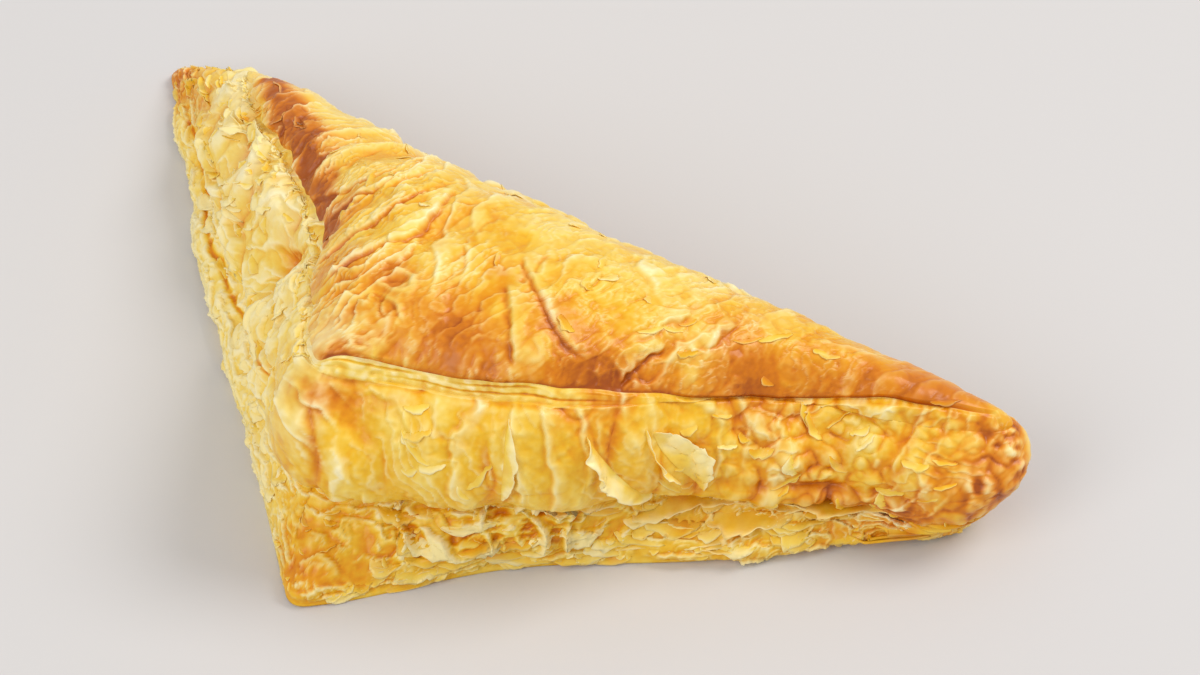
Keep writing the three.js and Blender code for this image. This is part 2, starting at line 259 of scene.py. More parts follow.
# Signed distance from each point to a path in plan, positive on the path's left, and the share
# of the path's length at the nearest place.
def strokeAt(points, path):
    path = np.array(path, float)
    lengths = np.linalg.norm(np.diff(path, axis=0), axis=1)
    nearest = np.full(points.shape[:-1], np.inf)
    side, share = np.zeros_like(nearest), np.zeros_like(nearest)
    for k, length in enumerate(lengths):
        away = points[..., :2] - path[k]
        ahead = (path[k + 1] - path[k]) / length
        along = np.clip(away @ ahead, 0, length)
        gap = np.linalg.norm(away - along[..., None] * ahead, axis=-1)
        closer = gap < nearest
        nearest = np.where(closer, gap, nearest)
        side = np.where(closer, np.sign(away[..., 1] * ahead[0] - away[..., 0] * ahead[1]), side)
        share = np.where(closer, (lengths[:k].sum() + along) / lengths.sum(), share)
    return nearest * side, share


def rounded(path):  # path with its corners cut twice, each side keeping its first and last quarter
    path = np.array(path, float)
    for _ in range(2):
        cut = np.stack([0.75 * path[:-1] + 0.25 * path[1:], 0.25 * path[:-1] + 0.75 * path[1:]], 1)
        path = np.concatenate([path[:1], cut.reshape(-1, 2), path[-1:]])
    return path


def spotAt(points, middle, reach):  # soft round spot, 1 in its middle
    return np.exp(-(((points - np.array(middle, float)) / reach) ** 2).sum(-1))


skin = {
    # Columns along the two straight sides, and rows of each part.
    "legs": 961, "sheetRows": 60, "wallRows": 130, "bandRows": 18, "topRows": 172, "underRows": 6,
    "sheetTop": 0.34,  # share of the crest's height where the lower sheet meets the wall
    "wobble": {"size": 5.5, "height": 0.45},
    "cornerTurn": 1.02,  # where the left wall ends and the front wall begins, in turns
    "topDrop": 0.5,  # how far the top face sinks to make room for its relief
    "topCut": 0.42,  # share of the top face's length where its two pieces meet
    "heart": (0, 6, 8),  # place inside the pastry where the skin's pieces close
    "underBake": 0.62, "underMottle": 0.12,
}

def blurAlong(values, reach, axis):  # running mean over reach cells to each side
    pad = [(reach + 1, reach) if a == axis else (0, 0) for a in range(values.ndim)]
    total = np.moveaxis(np.cumsum(np.pad(values, pad, mode="edge"), axis), axis, 0)
    return np.moveaxis((total[2 * reach + 1 :] - total[: -2 * reach - 1]) / (2 * reach + 1), 0, axis)


# How far each place of a grid stands above its surroundings, near and further off.
def proud(height):
    near = blurAlong(blurAlong(height, 3, 1), 2, 0)
    far = near
    for _ in range(2):
        far = blurAlong(blurAlong(far, 9, 1), 6, 0)
    return height - near, near - far


relief = {  # how near and far relief turn into colour, partly as painted shade in hollows and painted highlight on what stands proud: amount, least and most of each
    "bake": [(0.8, -0.22, 0.22), (0.4, -0.6, 0.45)],
    "pale": [(2.4, 0, 0.25), (0.8, 0, 0.6)],
    # painted highlight on the brows of flakes, where their thin edges catch the light
    "brow": 0.35,
    "paleTo": 0.84, "paleFrom": 0.46,  # bake at which films have lost all their paleness, and none of it
    "patches": (0.6, 0.5, 3.7),  # middle, swing and size of the uneven paleness
}


# Fields of a grid: what stands proud and the brows of flakes are painted paler, partly as painted highlight, and
# hollows a deeper gold, partly as painted shade.
def finished(height, bake, brow, points, pallor):
    near, far = proud(height)
    # painted shade in hollows and painted highlight on what stands proud, near and further off
    reliefShading, paler = (n[0] * np.clip(near, *n[1:]) + f[0] * np.clip(far, *f[1:])
                     for n, f in (relief["bake"], relief["pale"]))
    bake = bake - reliefShading
    middle, change, size = relief["patches"]
    pale = (paler + relief["brow"] * brow + pallor) * (middle + change * swing(points, size, (8, 2, 2)))
    pale = pale * smooth(relief["paleTo"], relief["paleFrom"], bake)
    return {"height": height, "bake": bake, "pale": np.clip(pale, 0, 1), "rosy": places(points, rosy)}


# Browned, rosy and pale places: middle, reach and amount.
browned = [
    ((7.9, -9.1, 41), (6, 4.5, 6), 0.20), ((1.9, -11.4, 41), (3.5, 3, 5), 0.12),
    ((-7.9, -6.3, 40), (4, 3, 5), 0.20), ((-3, -6.5, 41), (5, 3, 5), 0.14),
    ((29, -2.6, 36), (9, 5, 7), 0.29), ((43, 14, 29), (9, 6, 8), 0.29),
    ((-23, 3, 32), (7, 5, 6), 0.16), ((-17, -6, 33.5), (4, 4, 6), 0.20),
    ((-3.8, -26.3, 32), (3, 3, 2.6), 0.30), ((59.6, 15.2, 11), (5, 4, 2.6), 0.38),
    ((70, 19.1, 9), (6, 4, 2.8), 0.42), ((80, 26, 12), (6, 6, 5), 0.16),
    ((81, 33, 17), (6, 6, 5), 0.08), ((-1.5, -37, 4), (8, 8, 4), 0.30), ((-80.5, 34.5, 2), (5, 5, 4), 0.16),
]
rosy = [((-22, 1, 33), (6, 5, 5), 0.5), ((-17, -7, 33.5), (4, 4, 5), 0.35), ((9, -14.3, 38), (7, 2.5, 4), 0.25)]
paled = [
    ((-9, -19.5, 36), (4, 3.5, 4), 0.30), ((-65, 33, 13), 5, 0.25), ((11, 14, 40), (18, 8, 8), 0.12),
    ((-31.7, 0.1, 19), 7, 0.10),
]
creamed = [  # where films are pale, whatever the bake under them
    ((-9, -20, 35), 5, 0.7), ((-65, 33, 13), 5, 0.8), ((-8, -27, 28), (4, 4, 8), 0.4), ((-22, -9, 22), 7, 0.3),
]
plumped = [  # soft whitish lobes that stand out of the left wall
    ((-58.6, 27.4, 15.9), (3.6, 3.6, 2.6), 0.9), ((-49.1, 16.2, 17.1), (4.2, 4.2, 2.2), 1.0),
    ((-38.3, 9.3, 20.2), (4.6, 4.6, 2.4), 1.1), ((-25.4, -6.1, 21.5), (4.6, 4.6, 2.6), 1.1),
]


def places(points, spots):
    return sum(amount * spotAt(points, middle, reach) for middle, reach, amount in spots)


def stray(points, amount, size, firsts, rest):  # moves by noise, one direction for each first shift
    return amount * np.stack([swing(points, size, (first, *rest)) for first in firsts], -1)


def mottle(points, layers):  # sum of noises, each with its amount, size and shift
    return sum(amount * swing(points, size, shift) for amount, size, shift in layers)


# Overlapping flakes: a sawtooth of a warped phase, a cliff and then a long slope, whose strength
# comes and goes with slower noise. Returns the height, and how near each place is to a brow.
def flakes(points, layers):
    height, brow = 0, 0
    for spec in layers:
        size, seed, cliff = spec["spacing"], spec["seed"], spec["cliff"]
        bend = spec["bend"] * noise(points, 2.2 * size, (seed, 1.5, 2.5))
        fray = swing(points, 0.6 * size, (3.5, seed, 0.5)) + 0.35 * swing(points, 0.22 * size, (6.5, seed, 4.5))
        phase = points @ np.array(spec["across"], float) / size + bend + spec["fray"] * fray
        share = phase - np.floor(phase)
        hold = smooth(*spec["hold"], noise(points, 2.0 * size, (9.5, 4.5, seed)))
        height = height + spec["height"] * hold * smooth(0, cliff, share) * (1 - share) ** 1.4
        top = np.exp(-(((share - 1.1 * cliff) / (0.8 * cliff)) ** 2))
        brow = np.maximum(brow, top * hold)
    return height, brow


# One layer of flakes: the heading across them, their spacing and height, how far their edges bend
# and fray, the cliff's share of the spacing, and the noise values between which they come up.
def layer(across, spacing, height, seed, bend=2.6, fray=0.5, cliff=0.12, hold=(0.4, 0.62)):
    return {"across": across, "spacing": spacing, "height": height, "seed": seed, "bend": bend,
            "fray": fray, "cliff": cliff, "hold": hold}


flaking = {
    "front": [layer((0.72, 0.69, 0.25), 6.5, 0.6, 1, fray=0.22),
              layer((0.66, 0.64, 0.4), 2.6, 0.16, 2, fray=0.3)],
    "left": [layer((-0.5, 0.5, 0.7), 5.5, 0.7, 4, fray=0.25), layer((-0.3, 0.4, 0.9), 2.6, 0.35, 5, fray=0.3)],
    "right": [layer((0.6, 0.6, -0.6), 4.5, 0.5, 7, fray=0.3), layer((-0.5, 0.6, 0.6), 2.3, 0.3, 8, fray=0.3)],
    "sheet": [layer((0.03, 0.03, -1), 1.7, 0.75, 10, bend=1.4, fray=0.18, hold=(0.3, 0.55)),
              layer((0.2, 0.2, -1), 0.9, 0.3, 11, fray=0.3), layer((0.7, 0.6, 0.3), 2.4, 0.3, 12)],
    "topLeft": [layer((0.9, -0.42, 0), 5.0, 0.8, 13, fray=0.3),
                layer((0.85, -0.5, 0), 2.4, 0.45, 14, fray=0.35), layer((0.9, -0.3, 0.3), 1.3, 0.22, 15)],
    "topMiddle": [layer((0.88, 0.46, 0), 7.0, 0.6, 16, fray=0.3),
                  layer((0.9, -0.4, 0), 3.2, 0.3, 17, fray=0.35), layer((0.9, 0.3, 0.3), 1.5, 0.14, 18)],
    "topRight": [layer((0.93, -0.36, 0), 6.5, 0.5, 19, fray=0.3),
                 layer((0.9, -0.45, 0), 2.8, 0.26, 20, fray=0.35), layer((0.9, -0.3, 0.3), 1.4, 0.12, 21)],
}


# Puffed pillows that meet in sharp creases where the noise passes its middle.
def pillows(points, size, shift):
    return np.abs(swing(points, size, shift)) ** 0.7


# Thin films that stand up from the lower sheet under the front wall, as a net of narrow ridges
# along the middle lines of a strayed noise. Returns their height and where they are.
def tornNet(points, t):
    net = tears
    side = points[..., 0] * net["heading"][0] + points[..., 1] * net["heading"][1]
    where = smooth(*net["from"], side) * (1 - smooth(*net["to"], side))
    where = where * smooth(*net["low"], t) * (1 - smooth(*net["high"], t))
    strayed = points + stray(points, net["stray"], (5, 5, 7), (1, 5, 9), (3, 8))
    ridge = 0
    for size, shift, height, width in net["ridges"]:
        gap = np.abs(swing(strayed, size, shift)) / width
        ridge = np.maximum(ridge, height * np.clip(1 - gap, 0, 1) ** 0.8)
    frayed = 0.7 + mottle(points, net["fray"])
    return where * ridge * np.clip(frayed, 0.1, 1.2), where


tears = {
    "heading": (0.725, 0.689), "from": (-17, -11), "to": (16, 30), "low": (0.10, 0.17), "high": (0.40, 0.46),
    "stray": 1.6, "fray": [(0.6, 3.4, (6, 1, 3)), (0.3, 1.1, (6, 1, 3))],
    "ridges": [  # size, shift, height and width
        ((5.5, 5.5, 16), (1, 8, 3), 3.3, 0.12), ((9, 9, 3), (7, 2, 3), 1.8, 0.18),
        ((3.2, 3.2, 5), (4, 2, 3), 0.9, 0.25),
    ],
}


# Lines on the walls: paths as turns and share of the height, width, depth and bake, and the size of
# the noise that makes them wander.
sideSeam = {  # brown line where the sheets meet on the left wall
    "path": [(0.784, 0.10), (0.806, 0.23), (0.826, 0.23), (0.859, 0.20), (0.891, 0.23), (0.944, 0.56),
             (0.975, 0.72)],
    "width": 0.38, "depth": 0.4, "bake": 0.42, "wander": 3,
}
tipCrease = {
    "path": [(0.386, 0.985), (0.391, 0.94), (0.4036, 0.85), (0.4086, 0.76), (0.412, 0.66)],
    "width": 0.4, "depth": 0.4, "bake": 0.3, "wander": 2,
}


def wallStroke(points, turns, t, path, line):  # 1 on a line of the wall, less beside it
    flat = np.array([500, 30])  # length of a whole turn, and height
    place = np.stack([turns, t], -1) * flat + 0.7 * swing(points, line["wander"], (3, 8, 3))[..., None]
    gap = strokeAt(place, np.array(path) * flat)[0]
    return np.exp(-((gap / line["width"]) ** 2))


tipMarks = {  # ring-shaped blisters and crackled lines of the right tip
    "blisters": [  # middle and radius
        ((79.0, 32.4, 18.7), 1.4), ((77.8, 34.4, 19.6), 1.0), ((79.0, 36.4, 18.9), 1.1),
        ((81.0, 34.5, 17.4), 0.9), ((82.9, 33.1, 14.4), 0.9), ((79.0, 25.9, 15.3), 1.3),
    ],
    "stray": 0.5, "ring": {"at": 1.1, "width": 0.35, "height": 0.18},
    "pit": {"width": 0.55, "depth": 0.35, "bake": 0.26},
    "crackle": {"size": 3.2, "width": 0.26, "depth": 0.2, "bake": 0.22},
}


def tipMarksAt(points):  # height, bake and how near a crackled line is
    ring, pit, crackle = (tipMarks[name] for name in ("ring", "pit", "crackle"))
    strayed = points + stray(points, tipMarks["stray"], 1.6, (2, 4, 6), (7, 3))
    away = [np.linalg.norm(strayed - np.array(middle), axis=-1) / radius
            for middle, radius in tipMarks["blisters"]]
    inPit = sum(np.exp(-((gap / pit["width"]) ** 2)) for gap in away)
    onRing = sum(np.exp(-(((gap - ring["at"]) / ring["width"]) ** 2)) for gap in away)
    crack = np.exp(-((swing(strayed, crackle["size"], (2, 1, 2)) / crackle["width"]) ** 2))
    height = ring["height"] * onRing - pit["depth"] * inPit - crackle["depth"] * crack
    return height, pit["bake"] * inPit + crackle["bake"] * crack, crack


cutEdge = {  # cut edge of the top sheet along the front crest, where thin sheets show as lines
    "rows": (1, 1.1), "end": (26, 34),
    "lines": [(1.78, 7), (1.42, 3), (1.05, 5)],  # place and seed of each line
    "width": 0.055, "depth": 0.22, "bake": 0.34, "paler": 0.2, "hold": (-0.5, 0.2), "holdSize": 9,
    "sway": [(0.10, 7, (2, 7, 1))], "fuzz": [(0.22, 0.9, (2, 2, 7))], "mottle": [(0.14, 1.6, (7, 7, 2))],
}


def cutEdgeAt(points, t, front):  # where the cut edge is, and how near its lines are
    band = smooth(*cutEdge["rows"], t) * front * (1 - smooth(*cutEdge["end"], points[..., 0]))
    at = t + mottle(points, cutEdge["sway"])
    lines = 0
    for place, seed in cutEdge["lines"]:
        hold = smooth(*cutEdge["hold"], swing(points, cutEdge["holdSize"], (4, seed, 1)))
        lines = lines + hold * np.exp(-(((at - place) / cutEdge["width"]) ** 2))
    return band, lines


# Broad relief of the walls, which the solid has too: ribs on the front, pockets on the left, lumps
# on the right and behind, dimples at the tip, a flap on the sheet, a hollow, a crease and the seam.
def wallSwells(points, slanted, t, part, onWall, onSheet):
    front, left, right, tip, fold = part.values()
    s = swells
    rib = s["ribs"]["height"] * (crests(noise(slanted, s["ribs"]["size"])) - s["ribs"]["drop"])
    pocket = s["pockets"]["height"] * (crests(noise(points, s["pockets"]["size"])) - s["pockets"]["drop"])
    lump, dimple, flap = (s[name]["height"] * swing(points, s[name]["size"])
                          for name in ("lumps", "dimples", "flap"))
    broad = front * rib * (1 - 0.7 * smooth(*cutEdge["rows"], t)) + left * pocket
    broad = onWall * (broad + (right + 0.6 * fold + 0.5 * tip) * lump + 0.5 * tip * dimple) + onSheet * flap
    dent = s["hollow"]["depth"] * spotAt(points, s["hollow"]["middle"], s["hollow"]["reach"])
    crease, seam = (s[name]["depth"] * np.exp(-(((t - s[name]["at"]) / s[name]["width"]) ** 2))
                    for name in ("crease", "seam"))
    return broad - dent - crease * right - seam * front * (1 - smooth(*cutEdge["end"], points[..., 0]))


blisters = [((4.4, 4.4, 3.6), (5, 1, 2), 1), ((2.1, 2.1, 1.9), (5, 6, 2), 0.45)]
walls = {  # pillows as size, shift and share of each layer, their height, and how much paler their tops are, partly as painted highlight; then how baked the wall is, and the sheet below it
    # then how baked the wall is, and the sheet below it
    "front": {"pillows": [((7, 7, 13), (2, 5, 1), 1), ((3.5, 3.5, 6), (6, 5, 1), 0.24)],
              "height": 1.5, "paler": 0.2, "bake": 0.39, "sheetBake": 0.34},
    "left": {"pillows": [((7.5, 7.5, 7), (3, 1, 6), 1), (3.4, (3, 6, 6), 0.26)],
             "height": 2.0, "paler": 0.15, "bake": 0.19, "sheetBake": 0.10},
    "right": {"pillows": blisters, "height": 1.5, "paler": 0.12, "bake": 0.47, "sheetBake": 0.42},
    "tip": {"pillows": [(3, (2, 1, 2), 1), (1.5, (2, 6, 2), 0.5)],
            "height": 0.5, "paler": 0, "bake": 0.51, "sheetBake": 0.55},
    "fold": {"pillows": blisters, "height": 0.75, "paler": 0, "bake": 0.55, "sheetBake": 0.60},
}
# open pocket in the left wall: middle, reach and depth; inside, it is painted a deeper gold as painted shade, and
# scattered flakes keep clear of it
openPocket = {"middle": (-32.4, 1.0, 19.0), "reach": (5.0, 5.0, 4.2), "depth": 4.6, "bake": 0.36, "clear": 7.5}
wallTone = {  # where the wall and the sheet set in, as shares of the height, and tones of both
    "wall": (0.32, 0.46), "sheet": (0.01, 0.05), "calm": (0.94, 1.3),
    "grain": [(0.14, 1.1, (3, 1, 4)), (0.06, 0.5, (0, 0, 0))],
    "mottle": [(0.08, 7, (1, 2, 3)), (0.06, 2.6, (4, 4, 1))], "net": -0.05, "upperFold": -0.28,
    "drape": [(2.4, (6, 6, 8), (4, 1, 9))],  # how the front wall's pillows stray
}
wallPale = {  # how much paler films are at these places, or less pale if less than 0
    "upperFold": 0.16, "left": 0.18, "plump": 0.9, "cutEdge": 0.3, "tip": 0.12,
    "frontSheet": -0.22, "netPlace": -0.35, "net": -0.12, "sideSeam": -0.6,
}


# Relief and baking of the walls, from the sections' weights, with painted shade and highlight: height in
# millimetres, and bake, pale and rosy from 0 to 1.
def wallLook(points, turns, t, weights):
    front, right, tip = weights["front"] + weights["frontCorner"], weights["frontRight"], weights["rightTip"]
    fold, left = weights["fold"] + weights["leftTip"], weights["left"]
    part = {"front": front, "left": left, "right": right, "tip": tip, "fold": fold}
    onWall = smooth(*wallTone["wall"], t)
    onSheet = smooth(*wallTone["sheet"], t) * (1 - onWall)
    slanted = points + swells["ribs"]["slant"] * points[..., 2:] * np.array([1, 0, 0])
    deep = spotAt(points, openPocket["middle"], openPocket["reach"])
    broad = wallSwells(points, slanted, t, part, onWall, onSheet) - openPocket["depth"] * deep

    draped = slanted + mottle(points, wallTone["drape"])[..., None] * np.array([1, 1, 0])
    puffs = {name: sum(share * pillows(draped if name == "front" else points, size, shift)
                       for size, shift, share in spec["pillows"]) for name, spec in walls.items()}
    marks, marksBake, crack = tipMarksAt(points)
    fine = sum(part[name] * spec["height"] * puffs[name] for name, spec in walls.items()) + tip * marks
    fine = onWall * fine * (1 - 0.8 * left * smooth(*wallTone["calm"], t)) * (1 - 0.9 * deep)
    join = wallStroke(points, turns, t, sideSeam["path"], sideSeam) * left
    pinch = wallStroke(points, turns, t, rounded(tipCrease["path"]), tipCrease) * smooth(0.2, 0.6, tip)
    plump = places(points, plumped) * left
    net, netPlace = tornNet(points, t)
    fine = fine + net * front + 0.9 * plump - sideSeam["depth"] * join - tipCrease["depth"] * pinch
    band, lines = cutEdgeAt(points, t, front)
    fine = fine * (1 - band) + band * (mottle(points, cutEdge["fuzz"]) - cutEdge["depth"] * lines)
    onWall = onWall * (1 - 0.8 * band)
    brow = 0
    for name, share in (("front", (front + fold) * onWall), ("left", left * onWall),
                        ("right", (right + 0.5 * tip) * onWall), ("sheet", onSheet)):
        height, top = flakes(points, flaking[name])
        fine, brow = fine + share * height, brow + share * top
    fine = fine + mottle(points, wallTone["grain"])

    upperFold = fold * smooth(0.4, 1, t) * (1 - smooth(25, 55, points[..., 0]))
    bake = mottle(points, wallTone["mottle"]) + places(points, browned) - places(points, paled)
    bake = bake + marksBake * tip
    for name, spec in walls.items():
        # tops of the pillows are painted paler, partly as painted highlight
        wallBake = spec["bake"] - spec["paler"] * (puffs[name] - 0.6)
        bake = bake + part[name] * (onWall * wallBake + (1 - onWall) * spec["sheetBake"])
    edgeBake = mottle(points, cutEdge["mottle"]) - cutEdge["paler"] + cutEdge["bake"] * lines
    bake = bake + band * edgeBake + wallTone["net"] * front * net + wallTone["upperFold"] * upperFold
    # painted shade in the open pocket, deeper gold there and less pale in the shares below; the side seam and the
    # tip's crease are browner
    bake = bake + openPocket["bake"] * deep + sideSeam["bake"] * join + tipCrease["bake"] * pinch
    shares = {
        "upperFold": upperFold, "left": left * (1 - 1.6 * deep), "plump": plump, "cutEdge": band * (1 - lines),
        "tip": tip * (1 - 1.5 * crack), "frontSheet": front * (1 - onWall), "netPlace": front * netPlace,
        "net": front * net, "sideSeam": join,
    }
    pallor = places(points, creamed) + sum(wallPale[name] * share for name, share in shares.items())
    return finished(broad + fine, bake, brow, points, pallor)


# Creases and film edges of the top face that run too far to be left to chance: their paths in plan,
# the groove's depth and width, and the height of the bank that rises on the path's left, and its reach.
topStrokes = [
    ([(-27, 4), (-23, 7.7), (-18.6, 8.1), (-19.7, 16.2)], 1.0, 0.4, 0.6, 5),
    ([(-32.9, 9.5), (-27, 9.8), (-21.8, 11.9), (-20, 17)], 0.8, 0.4, 0.5, 5),
    ([(-21, -5), (-16.8, -0.2), (-13.3, 3.8), (-11.4, 12.6)], 1.0, 0.4, 0.7, 5),
    ([(-16, -11), (-12.6, -5.8), (-9.2, -2.3), (-6.3, 3), (-8.3, 15.8)], 0.9, 0.4, 0.7, 4.5),
    ([(-5, -4.8), (-6.3, 2.3)], 0.4, 0.4, 0.5, 2.5),
    ([(-50, 17.5), (-47.1, 22.3), (-45.3, 26.1)], 0.6, 0.4, 0.6, 3),
    ([(-40, 11.5), (-35.5, 15.5), (-33, 20)], 0.6, 0.4, 0.6, 3),
    ([(9, 7), (13.5, 2.5), (19.7, -0.9), (22.8, -3.2), (27.9, -2.6)], 0.7, 0.6, 0.8, 4),
    ([(-0.3, 4.1), (3.2, -0.1), (3.9, -4.2)], 0.3, 0.4, 0.5, 2.5),
    ([(10.1, 0.6), (15.9, -5.7), (19.4, -9.8)], 0.5, 0.6, 0.6, 3),
    ([(32.6, -0.8), (33.1, 3), (33.8, 8.1)], 0.8, 0.4, 0.8, 3),
    ([(30.7, 4.2), (32.6, 10), (35.3, 16)], 0.6, 0.4, 0.6, 3),
    ([(38.5, 12), (39.3, 15.3), (40.1, 19.5)], 0.6, 0.4, 0.6, 3),
    ([(13.3, 4.2), (12.4, 9.1)], 0.5, 0.3, 0.4, 2),
    ([(20.6, 6.4), (20.6, 11.3)], 0.5, 0.3, 0.4, 2),
]
films = {  # thin films left on the top, and the painted highlights on the lips of its banks
    "layers": [  # size, shift, the noise values where their edge lies, and share
        ((3.6, 7.5, 1), (8, 2, 4), 0.50, 0.58, 0.6), ((1.9, 3.8, 1), (2, 9, 4), 0.54, 0.64, 0.4),
    ],
    "height": 0.16, "bake": -0.12, "pale": 0.10, "lipAt": 0.6, "lipWidth": 0.45, "lipPale": 0.5,
    "lipHold": (0.35, 0.6), "lipNoise": (2.4, (5, 7, 2)),
}


def strokesAt(plan):  # grooves and banks of the strokes at points in plan, and painted highlights on the lips beside them
    cuts, banks, lipHighlights = 0, 0, 0
    for path, depth, width, height, reach in topStrokes:
        gap, share = strokeAt(plan, rounded(path))
        hold = smooth(0, 0.15, share) * (1 - smooth(0.8, 1, share))
        cuts = np.maximum(cuts, depth * hold * np.exp(-((gap / width) ** 2)))
        bank = smooth(-0.1, 0.6, gap) * np.exp(-np.maximum(gap, 0) / reach)
        banks = np.maximum(banks, height * hold * bank)
        lipHighlights = np.maximum(lipHighlights, height * hold * np.exp(-(((gap - films["lipAt"]) / films["lipWidth"]) ** 2)))
    return cuts, banks, lipHighlights


seams = {  # dark line in plan where the top sheet ends, above its cut edge, partly the seam's own brown and partly painted shadow under the overhang, with painted shade spreading from it
    "upper": [(-6.5, -22.6), (4.4, -17.6), (11.1, -15), (17.5, -12.3), (25.8, -7.5), (32.5, -1.4), (38.4, 5.9),
              (43.8, 12.4), (50, 18.4), (56.2, 22.8), (64.2, 27.3), (74, 32.8), (79, 36.6)],
    "depth": 0.16, "width": 0.26, "bake": 0.24, "shade": 0.20, "shadeReach": 4.5,
    "least": 0.002,  # least share of the top face's length between the seam and the crest
}
streaks = {  # fine wrinkles of the top sheet: heading, and size, shift and height of each layer
    "heading": (0.30, 0.95),
    "wander": [(0.65, 4, (1, 4), (2, 5)), (0.28, 1.1, (2, 6), (3, 1))],  # how every line of the top strays
    "least": 0.25, "hold": (0.4, 0.65), "holdNoise": (9, (3, 1, 1)),  # least strength, and where it grows
    "layers": [((2.6, 9, 1), (1, 4, 2), 0.5), ((1.3, 3.6, 1), (5, 4, 2), 0.22),
               ((0.8, 1.6, 1), (5, 9, 2), 0.10)],
}
scorched = {  # browned edge of the top along the left wall's crest, in plan
    "path": [(-60, 34.2), (-58.1, 33.4), (-51.4, 27.4), (-47.3, 24.7), (-41.8, 19.4), (-35.1, 13), (-29, 7.1),
             (-21.7, -0.6)],
    "reach": 3.5, "bake": 0.76, "rosy": 0.35, "start": (0, 0.08), "end": (0.85, 1),
    "least": 0.3, "uneven": [(0.7, 3.1, (8, 8, 1)), (0.4, 1.2, (8, 8, 1))],
}
crater = {  # burst bubble: its rim's height and width, and its floor's depth and share of the radii
    "middle": (-3.6, -7.4), "radii": (2.7, 1.7), "rim": 0.4, "rimWidth": 0.25, "floor": 0.25, "inner": 0.8,
    "bake": -0.02,
}


# Broad relief of the top face, which the solid has too: bubbles, and wrinkles of a bent noise.
def topSwells(points):
    x, y = points[..., 0], points[..., 1]
    bubbles, wrinkles, bend = swells["bubbles"], swells["wrinkles"], swells["bend"]
    hx, hy = wrinkles["heading"]
    bent = bend["steps"] * noise(flat3(points[..., :2]), bend["size"], bend["shift"])
    across, along = (x * hy - y * hx) / wrinkles["across"] + bent, (x * hx + y * hy) / wrinkles["along"]
    ridges = crests(noise(np.stack([across, along, 0 * x], -1), 1)) - wrinkles["drop"]
    ridges = ridges * wrinkles["height"] * smooth(*wrinkles["from"], x) * (1 - smooth(*wrinkles["to"], x))
    return bubbles["height"] * swing(points, bubbles["size"], bubbles["shift"]) + ridges


topTone = {  # grain and bake of the top, and how they change towards its right end and its back
    "grain": [(0.10, 1.1, (3, 1, 4)), (0.05, 0.5, (0, 0, 0))],
    "bake": 0.46, "mottle": [(0.09, (13, 11, 11), (1, 5, 3)), (0.08, 4.5, (4, 2, 1))],
    # cuts: how much darker the grooves of the strokes are painted, as painted shade
    "cuts": 0.15, "blunt": -0.06, "right": 0.12, "back": -0.17, "backPale": 0.20,
    "calmBack": 0.4, "calmRight": 0.45,  # shares of the fine relief that are missing there
}
topSpans = {  # where each change begins and ends, in millimetres along X, or Y for those of the back
    "middle": (-12, 0), "right": (24, 32), "browner": (20, 80), "blunt": (66, 80), "calm": (50, 62),
    "back": (4, 30), "backTo": (25, 55), "backCalm": (22, 34), "backPale": (6, 28), "backPaleTo": (25, 50),
}


